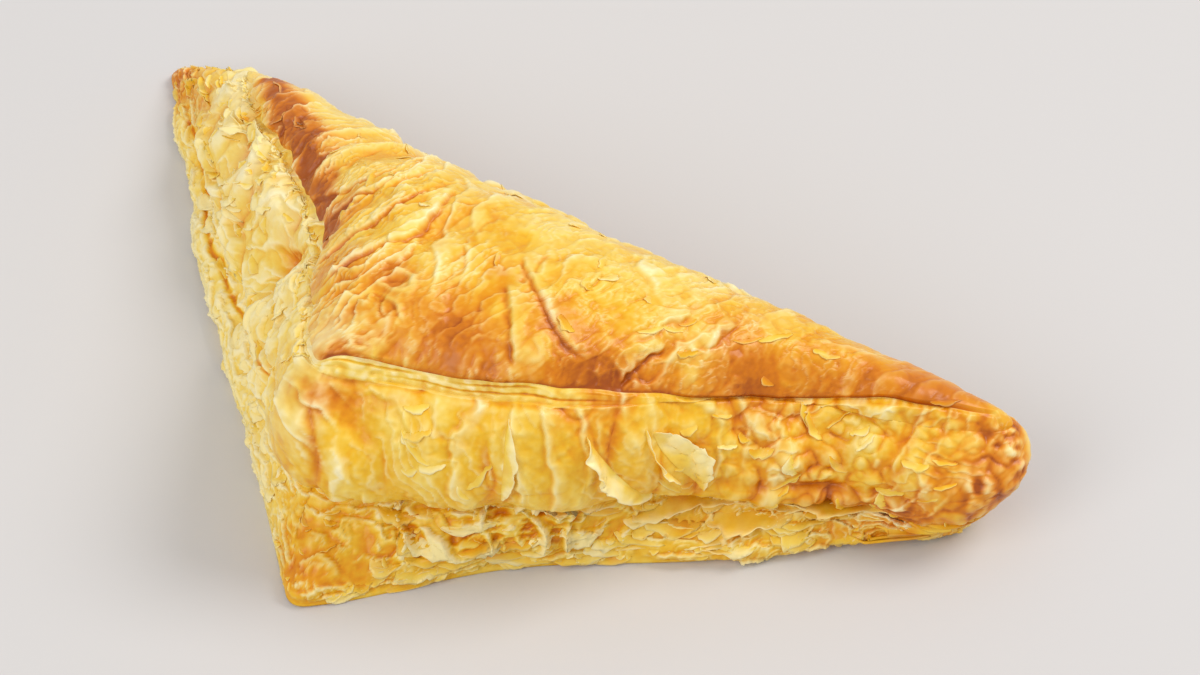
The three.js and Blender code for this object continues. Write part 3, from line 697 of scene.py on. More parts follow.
# Relief and baking of the top face, with painted shade and highlight.
def topLook(points):
    x, y = points[..., 0], points[..., 1]
    strayed = points[..., :2] + sum(stray(points, *spec) for spec in streaks["wander"])
    cuts, fine, lipHighlights = strokesAt(strayed)
    fine = fine - 0.35 * cuts
    lipHighlights = lipHighlights * smooth(*films["lipHold"], noise(points, *films["lipNoise"]))
    hx, hy = streaks["heading"]
    turned = flat3(strayed @ np.array([[hy, hx], [-hx, hy]]))
    hold = smooth(*streaks["hold"], noise(points, *streaks["holdNoise"]))
    patchy = streaks["least"] + (1 - streaks["least"]) * hold
    for size, shift, height in streaks["layers"]:
        fine = fine + patchy * height * pillows(turned, size, shift)
    film = sum(share * smooth(low, high, noise(turned, size, shift))
               for size, shift, low, high, share in films["layers"])
    ring = np.hypot(*((strayed[..., k] - crater["middle"][k]) / crater["radii"][k] for k in (0, 1)))
    inside = np.exp(-((ring / crater["inner"]) ** 2))
    fine = fine + films["height"] * film - crater["floor"] * inside
    fine = fine + crater["rim"] * np.exp(-(((ring - 1) / crater["rimWidth"]) ** 2))
    brow = 0
    left, right = 1 - smooth(*topSpans["middle"], x + 0.3 * y), smooth(*topSpans["right"], x)
    for name, part in (("topLeft", left), ("topMiddle", (1 - left) * (1 - right)), ("topRight", right)):
        height, top = flakes(points, flaking[name])
        fine, brow = fine + part * height, brow + part * top
    fine = fine + mottle(points, topTone["grain"])
    fine = fine * (1 - topTone["calmBack"] * smooth(*topSpans["backCalm"], y))
    fine = fine * (1 - topTone["calmRight"] * smooth(*topSpans["calm"], x))

    edge, share = strokeAt(strayed, scorched["path"])
    edge = np.exp(-((edge / scorched["reach"]) ** 2)) * smooth(*scorched["start"], share)
    edge = edge * (1 - smooth(*scorched["end"], share))
    edge = edge * sum((amount * noise(points, size, shift) for amount, size, shift in scorched["uneven"]),
                      scorched["least"])
    gap = strokeAt(points, seams["upper"])[0]
    line, shade = np.exp(-((gap / seams["width"]) ** 2)), np.exp(-((gap / seams["shadeReach"]) ** 2))
    blunt = smooth(*topSpans["blunt"], x)  # the narrow end, where the top runs out into the tip
    bake = topTone["bake"] + mottle(points, topTone["mottle"]) + places(points, browned) - places(points, paled)
    # painted shadow and shade along the seam, fading out at the narrow end
    bake = bake + (1 - blunt) * (seams["shade"] * shade + seams["bake"] * line) + topTone["blunt"] * blunt
    # painted shade in the grooves of the strokes, and a browner right end
    bake = bake + topTone["right"] * smooth(*topSpans["browner"], x) + topTone["cuts"] * cuts
    bake = bake + topTone["back"] * smooth(*topSpans["back"], y) * (1 - smooth(*topSpans["backTo"], x))
    bake = bake + crater["bake"] * inside + scorched["bake"] * edge + films["bake"] * (film - 0.4)
    backPale = topTone["backPale"] * smooth(*topSpans["backPale"], y) * (1 - smooth(*topSpans["backPaleTo"], x))
    # painted highlights on the lips of the banks
    pallor = places(points, creamed) + backPale + films["pale"] * film + films["lipPale"] * lipHighlights
    look = finished(topSwells(points) + fine, bake, brow * (1 - line), points, pallor)
    look["rosy"] = look["rosy"] + scorched["rosy"] * edge
    return look


# Smooth form of the skin as two grids. The ring grid goes up the walls and on over the crest to
# the seam, and the top grid is ruled from the seam of the two straight sides to the fold's.
def skinGrids():
    legs = evenTurns(leftTipMiddle, 1 + rightTipMiddle, skin["legs"])
    facing = evenTurns(leftTipMiddle, rightTipMiddle, skin["legs"])
    front, back = outlineAt(form["crest"], legs), outlineAt(form["crest"], facing)
    back[0], back[-1] = front[0], front[-1]

    def ruled(share):
        xy = front[None, :, :2] * (1 - share[..., None]) + back[None, :, :2] * share[..., None]
        return flat3(xy, domeAt(xy))

    probe = np.linspace(0, 0.5, 240)[:, None] + 0 * legs
    xy = front[None, :, :2] * (1 - probe[..., None]) + back[None, :, :2] * probe[..., None]
    outside = strokeAt(xy, seams["upper"])[0] < 0
    near = np.where(outside.all(0), 0, probe[np.argmin(outside, 0), 0])
    onLeft = smooth(skin["cornerTurn"] + 0.01, skin["cornerTurn"] - 0.03, legs)
    # Ragged edge of the top sheet along the left wall, in millimetres and then as a share.
    jag = 0.1 + 1.5 * noise(front, 3.6, (5, 5, 1)) ** 1.5 + 0.6 * noise(front, 1.4, (5, 1, 1))
    jag = jag * onLeft / np.maximum(np.linalg.norm((back - front)[:, :2], axis=-1), 4)
    near = np.maximum(blurAlong(near[None], 6, 1)[0] + jag, seams["least"])
    far = np.full(near.shape, 1 - seams["least"])

    u = np.concatenate([legs, 1 + facing[::-1][2:-1:2]])
    t = np.concatenate([np.linspace(0, skin["sheetTop"], skin["sheetRows"]),
                        np.linspace(skin["sheetTop"], 1, skin["wallRows"])[1:]])
    weights = weightsAt(u)
    wall = np.stack([wallAt(u, np.full(u.shape, share), weights) for share in t])
    over = np.linspace(0, 1, skin["bandRows"] + 1)[1:, None]
    nearBand, farBand = ruled(over * near), ruled(1 - over * (1 - far))
    band = np.concatenate([nearBand, farBand[:, ::-1][:, 2:-1:2]], 1)
    ring = np.concatenate([wall, band])
    top = ruled(near + (far - near) * np.linspace(0, 1, skin["topRows"])[:, None])
    ring[len(t) :, 0], top[:, 0] = front[0], front[0]
    ring[len(t) :, len(legs) - 1], top[:, -1] = front[-1], front[-1]
    return u, np.concatenate([t, 1 + over[:, 0]]), weights, ring, top


def wobbled(points):  # uneven hand-folded form, the same for every grid that holds a place
    wobble = skin["wobble"]
    moves = [swing(points, wobble["size"], (shift, 3 * shift, 2 * shift)) for shift in (2.3, 4.9, 7.7)]
    return points + wobble["height"] * np.stack(moves, -1) * smooth(0.5, 3, points[..., 2:])


# The whole skin with its relief, which stands along the normals and dies away at the seam and at
# the foot, so that both grids meet there.
def bakedSkin():
    u, t, weights, ring, top = skinGrids()
    shares = t[:, None] + 0 * u
    weights = {name: weight + 0 * shares for name, weight in weights.items()}
    look = wallLook(ring, u + 0 * shares, shares, weights)
    reach = np.linalg.norm(ring - ring[-1], axis=-1)
    fade = smooth(0, 0.7, reach) * smooth(0, 0.03, shares)
    base = wobbled(ring)
    ringPoints = base + gridNormals(base, True) * (look["height"] * fade)[..., None]
    ringPoints[..., 2] = np.maximum(ringPoints[..., 2], 0)

    reach = np.minimum(np.linalg.norm(top - top[0], axis=-1), np.linalg.norm(top - top[-1], axis=-1))
    topLooks = topLook(top)
    base = wobbled(top)
    lift = (topLooks["height"] + seams["depth"]) * smooth(0, 0.7, reach)
    lift = lift - skin["topDrop"] * smooth(0, 14, reach)
    topPoints = base + gridNormals(base, False) * lift[..., None]
    return u, t, (ringPoints, look), (topPoints, topLooks)


def ringRows(count, foot):  # rows of points from the underside's middle out to the foot
    share = np.linspace(0, 1, count + 1)[:-1, None, None]
    middle = np.array(form["undersideMiddle"] + (0,), float)
    return middle * (1 - share) + foot[None] * share


# Faces of a grid of vertex numbers: quads, and triangles where a pole makes two numbers alike.
def gridFaces(index):
    quads = np.stack([index[:-1, :-1], index[:-1, 1:], index[1:, 1:], index[1:, :-1]], -1).reshape(-1, 4)
    alike = quads == np.roll(quads, -1, 1)
    triangles = [np.delete(quads[alike[:, k]], k, 1) for k in range(4)]
    return quads[~alike.any(1)], np.concatenate(triangles)


# Triangles from each open edge of a surface to one more vertex, which close it inside the pastry.
def closingFaces(quads, triangles, apex):
    a = np.concatenate([quads.ravel(), triangles.ravel()])
    b = np.concatenate([np.roll(quads, -1, 1).ravel(), np.roll(triangles, -1, 1).ravel()])
    edge = ~np.isin(a * (apex + 1) + b, b * (apex + 1) + a)
    return np.stack([b[edge], a[edge], np.full(edge.sum(), apex)], -1)


# New object from points in millimetres and faces as arrays of vertex numbers. The last closing
# faces are flat, so that they don't turn the visible skin's normals.
def meshOf(name, points, quads, triangles, fields, closing=0, normals=None):
    mesh = bpy.data.meshes.new(name)
    corners = np.concatenate([quads.ravel(), triangles.ravel()]).astype(np.int32)
    sizes = np.repeat([4, 3], [len(quads), len(triangles)])
    mesh.vertices.add(len(points))
    mesh.vertices.foreach_set("co", ((points + toFrame) * mm).astype(np.float32).ravel())
    mesh.loops.add(len(corners))
    mesh.loops.foreach_set("vertex_index", corners)
    mesh.polygons.add(len(sizes))
    mesh.polygons.foreach_set("loop_start", (np.cumsum(sizes) - sizes).astype(np.int32))
    mesh.update(calc_edges=True)
    flat = mesh.attributes.new("sharp_face", "BOOLEAN", "FACE")
    flat.data.foreach_set("value", np.arange(len(sizes)) >= len(sizes) - closing)
    if normals is not None:
        mesh.normals_split_custom_set_from_vertices(normals)
    for field, values in fields.items():
        attribute = mesh.attributes.new(field, "FLOAT", "POINT")
        attribute.data.foreach_set("value", values.astype(np.float32))
    piece = bpy.data.objects.new(name, mesh)
    bpy.context.scene.collection.objects.link(piece)
    piece.data.materials.append(crust)
    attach(piece, "root")
    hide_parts("turnover")
    print(f"{name}: {len(quads) * 2 + len(triangles)} triangles")
    return piece


# Closed piece of the skin from one patch of a grid. Places that share a number are one vertex.
def skinPiece(name, points, normals, look, index=None):
    count = points.shape[0] * points.shape[1]
    index = np.arange(count).reshape(points.shape[:2]) if index is None else index
    used, order = np.unique(index, return_inverse=True)
    quads, triangles = gridFaces(order.reshape(index.shape))
    closing = closingFaces(quads, triangles, len(used))
    flatPoints = np.concatenate([points.reshape(-1, 3)[used], [skin["heart"]]])
    fields = {field: np.append(look[field].ravel()[used], 0.5) for field in ("bake", "pale", "rosy")}
    normals = np.concatenate([normals.reshape(-1, 3)[used], [(0, 0, 0)]])
    return meshOf(name, flatPoints, quads, np.concatenate([triangles, closing]), fields, len(closing), normals)


def patch(look, rows, columns):  # the same part of each field of a grid
    return {field: values[rows][:, columns] for field, values in look.items()}


# Normals for shading: at each place the sum of the unit normals of the faces round it.
def faceNormals(points, closed):
    if closed:
        points = np.concatenate([points, points[:, :1]], 1)
    faces = unit(np.cross(points[1:, 1:] - points[:-1, :-1], points[1:, :-1] - points[:-1, 1:]))
    total = np.zeros(points.shape)
    for rows, columns in ((slice(0, -1), slice(0, -1)), (slice(0, -1), slice(1, None)),
                          (slice(1, None), slice(0, -1)), (slice(1, None), slice(1, None))):
        total[rows, columns] += faces
    if closed:
        total[:, 0] += total[:, -1]
        total = total[:, :-1]
    return unit(total)


# Normals of both grids, made alike along the seam where they meet.
def skinNormals(wall, top):
    wallNormals, topNormals = faceNormals(wall, True), faceNormals(top, False)
    legs = top.shape[1]
    near = unit(wallNormals[-1, :legs] + topNormals[0])
    wallNormals[-1, :legs], topNormals[0] = near, near
    matching = np.arange(legs)[::-1][2:-1:2]
    far = unit(wallNormals[-1, legs:] + topNormals[-1, matching])
    wallNormals[-1, legs:], topNormals[-1, matching] = far, far
    topNormals[-1, matching[:-1] - 1] = unit(far[:-1] + far[1:])
    return wallNormals, topNormals


def keptAt(normals, rows, columns):  # normals of some rows and columns, and zero elsewhere
    kept = np.zeros_like(normals)
    kept[rows], kept[:, columns] = normals[rows], normals[:, columns]
    return kept


def addSkin():
    u, t, (wall, look), (top, topLooks) = bakedSkin()
    print(f"skin: {wall[..., 0].size} places on the walls and {top[..., 0].size} on the top")
    wallNormals, topNormals = skinNormals(wall, top)
    addScales(u, t, (wall, wallNormals, look), (top, topNormals, topLooks))
    legs, rows = skin["legs"], skin["sheetRows"]
    wallRows, ring = slice(rows - 1, None), np.append(np.arange(len(u)), 0)
    corner = int(np.searchsorted(u, skin["cornerTurn"]))
    spans = {"leftWall": np.arange(corner + 1), "frontWall": np.arange(corner, legs),
             "foldWall": ring[legs - 1 :]}
    for name, columns in spans.items():
        normals = keptAt(wallNormals[wallRows][:, columns], [-1], [0, -1])
        skinPiece(name, wall[wallRows][:, columns], normals, patch(look, wallRows, columns))

    under = ringRows(skin["underRows"], wall[0])
    sheet = np.concatenate([under, wall[:rows]])
    bare = 0 * under[..., 0]
    bottom = {"bake": skin["underBake"] + skin["underMottle"] * swing(under, 6), "pale": bare, "rosy": bare}
    sheetLook = {field: np.concatenate([bottom[field], look[field][:rows]]) for field in bottom}
    index = np.arange(sheet.shape[0] * sheet.shape[1]).reshape(sheet.shape[:2])
    index[0] = 0
    sheetIndex = index[:, ring]
    skinPiece("lowerSheet", sheet, 0 * sheet, sheetLook, sheetIndex)

    index = np.arange(top.shape[0] * top.shape[1]).reshape(top.shape[:2])
    index[:, 0], index[:, -1] = index[0, 0], index[0, -1]
    cut = int(legs * skin["topCut"])
    normals = keptAt(topNormals, [0, -1], [cut])
    skinPiece("topLeft", top, normals, topLooks, index[:, : cut + 1])
    skinPiece("topRight", top, normals, topLooks, index[:, cut:])


thinSheets = {  # what leaves and loose flakes have in common
    "thinning": 0.75,  # share of the thickness that is lost at the lip
    "mottle": [(0.16, 3, (0, 0, 0)), (0.1, 1.2, (1, 5, 2))],
    "rootBake": 0.13, "lipBake": 0.16, "lipPale": 0.5, "palePatches": 0.18,
}


# Closed thin sheet round a grid of middle points (rows from root to lip, columns along it): one
# face on each side at half the thickness, which thins to the lip, and both ends drawn to a point.
def thinSheet(middle, thick):
    share = np.linspace(0, 1, len(middle))[:, None, None]
    half = gridNormals(middle, False) * thick / 2 * (1 - thinSheets["thinning"] * share)
    points = np.concatenate([middle + half, (middle - half)[::-1]])
    points[:, 0], points[:, -1] = middle[:, 0].mean(0), middle[:, -1].mean(0)
    index = np.arange(points.shape[0] * points.shape[1]).reshape(points.shape[:2])
    index[:, 0], index[:, -1] = index[0, 0], index[0, -1]
    return points, np.concatenate([index, index[:1]])


# Many thin sheets as one object. Each comes as a middle grid, a thickness and how much it is baked.
def sheetsPiece(name, sheets):
    look = thinSheets
    allPoints, allQuads, allTriangles, bake, pale, start = [], [], [], [], [], 0
    for middle, thick, baked in sheets:
        points, index = thinSheet(middle, thick)
        used, order = np.unique(index, return_inverse=True)
        quads, triangles = gridFaces(order.reshape(index.shape) + start)
        points = points.reshape(-1, 3)[used]
        lip = np.abs(np.linspace(-1, 1, 2 * len(middle)))[:, None] + 0 * middle[0, :, 0]
        lip = 1 - lip.ravel()[used]
        allPoints.append(points)
        allQuads.append(quads)
        allTriangles.append(triangles)
        baked = baked + look["rootBake"] * (1 - lip) - look["lipBake"] * lip
        bake.append(baked + mottle(points, look["mottle"]))
        patches = look["palePatches"] * np.maximum(swing(points, 2.4, (5, 1, 8)), 0)
        pale.append(look["lipPale"] * smooth(0.75, 1, lip) + patches)
        start += len(points)
    points, bake = np.concatenate(allPoints), np.concatenate(bake)
    fields = {"bake": bake, "pale": np.concatenate(pale), "rosy": 0 * bake}
    return meshOf(name, points, np.concatenate(allQuads), np.concatenate(allTriangles), fields)


leaves = {  # torn layers between the lower sheet and the wall
    "layers": [  # from and to in turns, root's share of the height, lip's height, share of the way out, bake
        (0.150, 0.300, 0.16, 3.0, 0.80, 0.36), (0.185, 0.330, 0.20, 3.6, 0.86, 0.38),
        (0.215, 0.400, 0.32, 8.2, 0.66, 0.30), (0.240, 0.420, 0.16, 2.6, 0.98, 0.38),
        (0.260, 0.440, 0.28, 6.4, 0.88, 0.34), (0.290, 0.435, 0.36, 8.2, 0.86, 0.44),
        (0.335, 0.400, 0.14, 2.4, 1.02, 0.40), (0.280, 0.430, 0.22, 4.4, 0.95, 0.44),
        (0.120, 0.230, 0.12, 2.0, 0.96, 0.46), (0.030, 0.130, 0.22, 3.6, 0.50, 0.44),
        (0.880, 0.980, 0.24, 3.6, 0.45, 0.34), (0.820, 0.930, 0.22, 3.0, 0.50, 0.32),
        (0.470, 0.640, 0.24, 5.0, 0.60, 0.55), (0.560, 0.720, 0.18, 3.4, 0.70, 0.50),
    ],
    "columns": 360, "span": 0.2, "rows": 13,  # columns to a span of so many turns
    "thick": 0.45, "wave": 1.2, "inward": 1.5, "least": 0.35,  # the least height that a lip has
    "tears": [(0.30, 9), (0.16, 3.2), (0.07, 1.1)], "uneven": 1.1,  # amount and size of the lip's raggedness
}


def addLeaves():
    sheets = []
    for n, (start, end, rootShare, lipHeight, reach, baked) in enumerate(leaves["layers"]):
        count = int(leaves["columns"] * (end - start) / leaves["span"])
        u = np.linspace(start, end, count)
        weights = weightsAt(u)
        root = wallAt(u, np.full(count, rootShare), weights)
        foot = wallAt(u, np.full(count, 0.06), weights)
        away = unit((foot - root) * np.array([1, 1, 0]))
        root = root - away * leaves["inward"]
        seed = np.stack([u * 400, 0 * u + 7.3 * n, 0 * u], -1)
        ends = smooth(0, 0.12, (u - start) / (end - start)) * smooth(0, 0.12, (end - u) / (end - start))
        torn = 0.62 + sum(amount * swing(seed, (size, 1, 1)) for amount, size in leaves["tears"])
        length = np.linalg.norm((foot - root)[:, :2], axis=-1) * reach * torn * ends / 0.72
        w = np.linspace(0, 1, leaves["rows"])[:, None, None]
        lip = root + away * length[:, None]
        lip[:, 2] = lipHeight + leaves["uneven"] * swing(seed, (12, 1, 1), (0, 0.5, 0))
        middle = root * (1 - w) + lip * w
        ripple = swing(middle, (4.5, 4.5, 30), (n, 0, 0)) + 0.4 * swing(middle, (1.9, 1.9, 30), (0, n, 0))
        middle[..., 2] += leaves["wave"] * ripple * w[..., 0] ** 1.5 * ends
        middle[..., 2] = np.maximum(middle[..., 2], leaves["least"])
        sheets.append((middle, leaves["thick"], baked))
    sheetsPiece("tornLeaves", sheets)


# Value of a grid at places given by fractional rows and columns, blended from the four nearest.
def gridAt(grid, row, column):
    i = np.clip(np.floor(row).astype(int), 0, grid.shape[0] - 2)
    j = np.clip(np.floor(column).astype(int), 0, grid.shape[1] - 2)
    a, b = np.clip(row - i, 0, 1)[..., None], np.clip(column - j, 0, 1)[..., None]
    low = grid[i, j] * (1 - b) + grid[i, j + 1] * b
    return low * (1 - a) + (grid[i + 1, j] * (1 - b) + grid[i + 1, j + 1] * b) * a


scales = {  # loose thin flakes that lie on the crust, held at one edge and lifting at the other
    "large": [  # root's two ends and the lip's middle, each as turns and share of the height, lift and bake
        ((0.231, 0.90), (0.262, 0.545), (0.262, 0.80), 1.7, 0.10),
        ((0.199, 0.90), (0.236, 0.53), (0.212, 0.64), 2.2, 0.16),
        ((0.226, 0.92), (0.250, 0.60), (0.240, 0.72), 1.5, 0.20),
        ((0.163, 0.96), (0.163, 0.56), (0.169, 0.75), 0.6, 0.14),
    ],
    # Scattered ones: count, from and to in share of the height and in turns, lift, size, and how far
    # they turn from lying level.
    "scattered": [
        (12, (0.50, 0.98), (0.10, 0.25), (0.1, 0.4), 1.1, 1.2),  # front wall
        (34, (0.40, 0.98), (0.24, 0.38), (0.1, 0.5), 0.9, 1.2),  # right end
        (60, (0.36, 0.98), (0.78, 0.99), (0.3, 0.8), 1, 1.2),  # left wall
        (60, (0.04, 0.32), (0.10, 0.42), (0.2, 0.5), 1.5, 0.3),  # lower sheet's rim, in front
        (50, (0.04, 0.30), (0.78, 0.99), (0.2, 0.4), 0.9, 0.4),  # the same on the left
        (80, (0.1, 0.95), (0.50, 0.74), (0.2, 0.6), 1, 1.2),  # folded side
        (190, (0.5, 1.5), (0.77, 1.0), (0.2, 0.6), 0.5, 1.2),  # feathers along the left crest
        (70, (0.03, 0.45), (0.0, 0.42), (0.2, 0.5), 0.4, 1.2),  # crumbs below the front wall
    ],
    "top": (34, (6, 164), (60, 900), (0.15, 0.32), 0.8, 1.2),  # the same, with the top grid's rows and columns
    "long": (3, 9), "wide": (1.0, 2.8), "columns": 12, "rows": 5, "largeColumns": 60, "largeRows": 24,
    "thick": 0.2, "largeThick": 0.32, "sunk": 0.12, "least": 0.25,
    "paler": 0.1, "most": 0.44,  # how much paler than the crust below, and the most that they are baked
    "seed": 11,
}


# Flake between a root line and a lip, both places on a grid: its root is sunk a little, its lip
# stands off along the normals, and its length is ragged and its lift uneven.
def scaleSheet(grid, normals, rootA, rootB, lip, lift, key, columns, rows, frayed=1.0):
    s = np.linspace(0, 1, columns)[None, :]
    w = np.linspace(0, 1, rows)[:, None]
    rootA, rootB, lip = (np.array(place, float) for place in (rootA, rootB, lip))
    root = rootA + (rootB - rootA) * s[..., None]
    seed = np.stack([s * 9 + 0 * w, 0 * s + 0 * w + 7.7 * key, 0 * s + 0 * w], -1)
    uneven = 0.4 * swing(seed, (3.1, 1, 1)) + 0.2 * swing(seed, (0.9, 1, 1))
    ragged = (np.sin(np.pi * s) ** (0.95 - 0.4 * frayed)) * (0.9 + frayed * uneven)
    place = root + (lip - (rootA + rootB) / 2) * (w * ragged)[..., None]
    row, column = place[..., 0], place[..., 1]
    on, normal = gridAt(grid, row, column), unit(gridAt(normals, row, column))
    curl = 1 + 0.35 * swing(seed + np.array([0, 3, 0]), (2.3, 1, 1))
    rise = lift * curl * w**1.3 * np.sin(np.pi * s) ** 0.4 - scales["sunk"] * (1 - w)
    sheet = on + normal * rise[..., None]
    sheet[..., 2] = np.maximum(sheet[..., 2], scales["least"])
    return sheet


# Random flake about a place on a grid. The grid's steps there turn millimetres into rows and columns.
def strayScale(grid, normals, row, column, lifts, size, slant, rng):
    here = gridAt(grid, np.array(row), np.array(column))
    perRow = np.linalg.norm(gridAt(grid, np.array(row + 3), np.array(column)) - here) / 3 + 0.05
    perColumn = np.linalg.norm(gridAt(grid, np.array(row), np.array(column + 3)) - here) / 3 + 0.05
    heading = rng.uniform(-slant, slant)
    long, wide = size * rng.uniform(*scales["long"]), size * rng.uniform(*scales["wide"])
    ahead = np.array([math.sin(heading) / perRow, math.cos(heading) / perColumn]) * long / 2
    outward = np.array([-math.cos(heading) / perRow, math.sin(heading) / perColumn]) * wide
    middle, key = np.array([row, column]), 100 * rng.random()
    return scaleSheet(grid, normals, middle - ahead, middle + ahead, middle + outward, rng.uniform(*lifts), key,
                      scales["columns"], scales["rows"])


def addScales(u, t, wallSkin, topSkin):
    (wall, normals, look), (top, topNormals, topLooks) = wallSkin, topSkin
    rng = np.random.default_rng(scales["seed"])
    thick = scales["thick"]
    sheets = []

    def spot(turns, share):  # row and column of a place on the walls
        turns = turns + (turns < leftTipMiddle)
        return np.interp(share, t, np.arange(len(t))), np.interp(turns, u, np.arange(len(u)))

    def bakeBelow(field, row, column):
        return float(gridAt(field[..., None], np.array(row), np.array(column))[0]) - scales["paler"]

    for n, (rootA, rootB, lip, lift, baked) in enumerate(scales["large"]):
        sheet = scaleSheet(wall, normals, spot(*rootA), spot(*rootB), spot(*lip), lift, n,
                           scales["largeColumns"], scales["largeRows"], 0.3)
        sheets.append((sheet, scales["largeThick"], baked))
    for count, shares, turns, lifts, size, slant in scales["scattered"]:
        for _ in range(count):
            row, column = spot(rng.uniform(*turns), rng.uniform(*shares))
            here = gridAt(wall, np.array(row), np.array(column))
            if np.linalg.norm(here - openPocket["middle"]) < openPocket["clear"]:
                continue
            baked = min(bakeBelow(look["bake"], row, column), scales["most"])
            sheets.append((strayScale(wall, normals, row, column, lifts, size, slant, rng), thick, baked))
    count, rows, columns, lifts, size, slant = scales["top"]
    for _ in range(count):
        row, column = rng.uniform(*rows), rng.uniform(*columns)
        baked = bakeBelow(topLooks["bake"], row, column)
        sheets.append((strayScale(top, topNormals, row, column, lifts, size, slant, rng), thick, baked))
    sheetsPiece("looseFlakes", sheets)


# Shift from the form's own place to the solid's: both have their outline's middle at one place.
def shiftToFrame():
    low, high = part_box("turnover")
    wall = skinGrids()[3]
    own = (wall.min((0, 1)) + wall.max((0, 1))) / 2
    middle = [(a + b) / 2 / mm for a, b in zip(low, high)]
    return np.array([middle[0] - own[0], middle[1] - own[1], 0])


def linear(colour):  # from 0-255 display values to linear ones
    c = np.array(colour, float) / 255
    return tuple(np.where(c <= 0.04045, c / 12.92, ((c + 0.055) / 1.055) ** 2.4)) + (1.0,)


finish = {
    "stops": [(0.0, (255, 236, 165)), (0.2, (249, 214, 90)), (0.42, (241, 188, 40)), (0.6, (233, 156, 16)),
              (0.78, (214, 122, 10)), (1.0, (166, 80, 14))],
    "pale": (255, 243, 196), "paleShare": 0.85,
    "rosy": (212, 132, 70), "rosyMottle": 2.4, "rosyDrop": -0.7, "rosyMost": 0.85,
    "speckle": 0.10, "grain": 900, "coarse": 260,
    "roughness": 0.33, "specular": 0.32, "bump": 0.25, "bumpHeight": 0.00012,
}


def nodeOf(tree, kind, **values):
    node = tree.nodes.new(kind)
    for name, value in values.items():
        setattr(node, name, value)
    return node


def feed(tree, sockets, values):  # each value is a number, a colour or the output of another node
    for socket, value in zip(sockets, values):
        if isinstance(value, bpy.types.NodeSocket):
            tree.links.new(value, socket)
        else:
            socket.default_value = value


def mixNode(tree, share, a, b):
    node = nodeOf(tree, "ShaderNodeMix", data_type="RGBA")
    feed(tree, [node.inputs[name] for name in ("Factor", "A", "B")], (share, a, b))
    return node.outputs["Result"]


def mathNode(tree, operation, a, b=0.0, c=0.0):
    node = nodeOf(tree, "ShaderNodeMath", operation=operation)
    feed(tree, node.inputs, (a, b, c))
    return node.outputs[0]


def noiseNode(tree, place, scale, detail=3.0):
    node = nodeOf(tree, "ShaderNodeTexNoise")
    node.inputs["Scale"].default_value = scale
    node.inputs["Detail"].default_value = detail
    tree.links.new(place, node.inputs["Vector"])
    return node.outputs["Fac"]


# Baked crust: a ramp from cream to brown by how much each place has baked, with painted shade in hollows,
# fine speckle, pale film edges and painted highlights, rosy brown scorched places and a soft egg-wash gloss.
def crustMaterial():
    material = bpy.data.materials.new("bakedCrust")
    material.use_nodes = True
    tree = material.node_tree
    shader = tree.nodes["Principled BSDF"]
    place = nodeOf(tree, "ShaderNodeTexCoord").outputs["Object"]
    field = {name: nodeOf(tree, "ShaderNodeAttribute", attribute_name=name).outputs["Fac"]
             for name in ("bake", "pale", "rosy")}
    coarse, fine = noiseNode(tree, place, finish["coarse"]), noiseNode(tree, place, finish["grain"])
    speckle = mathNode(tree, "MULTIPLY_ADD", coarse, 2 * finish["speckle"], -finish["speckle"])
    speckle = mathNode(tree, "MULTIPLY_ADD", fine, finish["speckle"], speckle)
    bake = mathNode(tree, "ADD", field["bake"], mathNode(tree, "SUBTRACT", speckle, finish["speckle"] / 2))
    ramp = nodeOf(tree, "ShaderNodeValToRGB")
    stops = ramp.color_ramp.elements
    for position, _ in finish["stops"][1:-1]:
        stops.new(position)
    for stop, (position, colour) in zip(stops, finish["stops"]):
        stop.position, stop.color = position, linear(colour)
    tree.links.new(bake, ramp.inputs["Fac"])
    uneven = mathNode(tree, "MULTIPLY_ADD", coarse, finish["rosyMottle"], finish["rosyDrop"])
    rosyShare = mathNode(tree, "MULTIPLY", field["rosy"], uneven)
    rosyShare = mathNode(tree, "MINIMUM", mathNode(tree, "MAXIMUM", rosyShare, 0.0), finish["rosyMost"])
    colour = mixNode(tree, rosyShare, ramp.outputs["Color"], linear(finish["rosy"]))
    paleShare = mathNode(tree, "MULTIPLY", field["pale"], finish["paleShare"])
    colour = mixNode(tree, paleShare, colour, linear(finish["pale"]))
    tree.links.new(colour, shader.inputs["Base Color"])
    bump = nodeOf(tree, "ShaderNodeBump")
    bump.inputs["Strength"].default_value = finish["bump"]
    bump.inputs["Distance"].default_value = finish["bumpHeight"]
    tree.links.new(fine, bump.inputs["Height"])
    tree.links.new(bump.outputs["Normal"], shader.inputs["Normal"])
    shader.inputs["Roughness"].default_value = finish["roughness"]
    shader.inputs["Specular IOR Level"].default_value = finish["specular"]
    print(f"crust material: {len(tree.nodes)} nodes")
    return material


studio = {
    "floor": {"half": 3.0, "colour": (213, 211, 211), "roughness": 0.9, "specular": 0.1},  # metres
    "sky": 0.60, "skyColour": (255, 254, 253),
    "key": {"azimuth": 140, "elevation": 50, "away": 1.6, "size": 0.8, "power": 12, "colour": (255, 252, 248)},
    "fill": {"azimuth": -14, "elevation": 42, "away": 1.8, "size": 1.2, "power": 10.0, "colour": (255, 254, 252)},
}


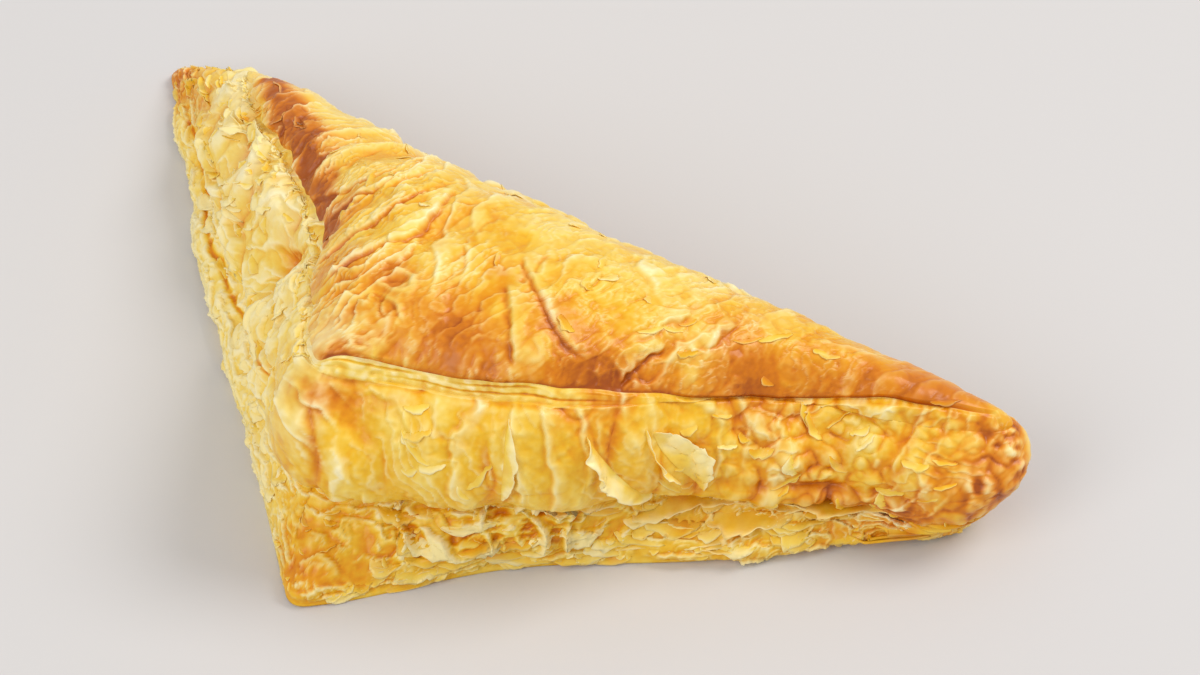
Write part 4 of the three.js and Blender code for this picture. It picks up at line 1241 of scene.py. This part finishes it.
def addFloor():  # plain pale floor, one large flat sheet
    spec = studio["floor"]
    half = spec["half"]
    mesh = bpy.data.meshes.new("floor")
    corners = [(-half, -half, 0), (half, -half, 0), (half, half, 0), (-half, half, 0)]
    mesh.from_pydata(corners, [], [(0, 1, 2, 3)])
    floor = bpy.data.objects.new("floor", mesh)
    bpy.context.scene.collection.objects.link(floor)
    material = bpy.data.materials.new("palePaper")
    material.use_nodes = True
    shader = material.node_tree.nodes["Principled BSDF"]
    shader.inputs["Base Color"].default_value = linear(spec["colour"])
    shader.inputs["Roughness"].default_value = spec["roughness"]
    shader.inputs["Specular IOR Level"].default_value = spec["specular"]
    mesh.materials.append(material)
    print("floor in place")


def direction(azimuth, elevation):  # azimuth 0 is on the -Y side, 90 on the +X side
    a, e = math.radians(azimuth), math.radians(elevation)
    return Vector((math.sin(a) * math.cos(e), -math.cos(a) * math.cos(e), math.sin(e)))


def addLight(name):
    spec = studio[name]
    data = bpy.data.lights.new(name, "AREA")
    data.shape, data.size, data.energy = "DISK", spec["size"], spec["power"]
    data.color = linear(spec["colour"])[:3]
    light = bpy.data.objects.new(name, data)
    toward = direction(spec["azimuth"], spec["elevation"])
    light.location = toward * spec["away"]
    light.rotation_euler = toward.to_track_quat("Z", "Y").to_euler()
    bpy.context.scene.collection.objects.link(light)
    print(f"{name} light in place")


def addSky():
    world = bpy.data.worlds.new("studio")
    world.use_nodes = True
    background = world.node_tree.nodes["Background"]
    background.inputs["Color"].default_value = linear(studio["skyColour"])
    background.inputs["Strength"].default_value = studio["sky"]
    bpy.context.scene.world = world
    bpy.context.scene.view_settings.view_transform = "Standard"
    print("sky in place")


view = {  # metres, degrees, and millimetres for the lens and its sensor
    "azimuth": 34.0, "elevation": 49.3, "away": 0.795, "target": (0.00811, 0.02977, 0),
    "lens": 150, "sensor": 36,
}


def addCamera():
    data = bpy.data.cameras.new("camera")
    data.lens, data.sensor_width = view["lens"], view["sensor"]
    camera = bpy.data.objects.new("camera", data)
    back = direction(view["azimuth"], view["elevation"])
    camera.location = Vector(view["target"]) + back * view["away"]
    camera.rotation_euler = back.to_track_quat("Z", "Y").to_euler()
    bpy.context.scene.collection.objects.link(camera)
    bpy.context.scene.camera = camera
    print("camera in place")


crust = crustMaterial()
toFrame = shiftToFrame()
addSkin()
addLeaves()
addFloor()
addSky()
addLight("key")
addLight("fill")
addCamera()

bpy.context.view_layer.update()
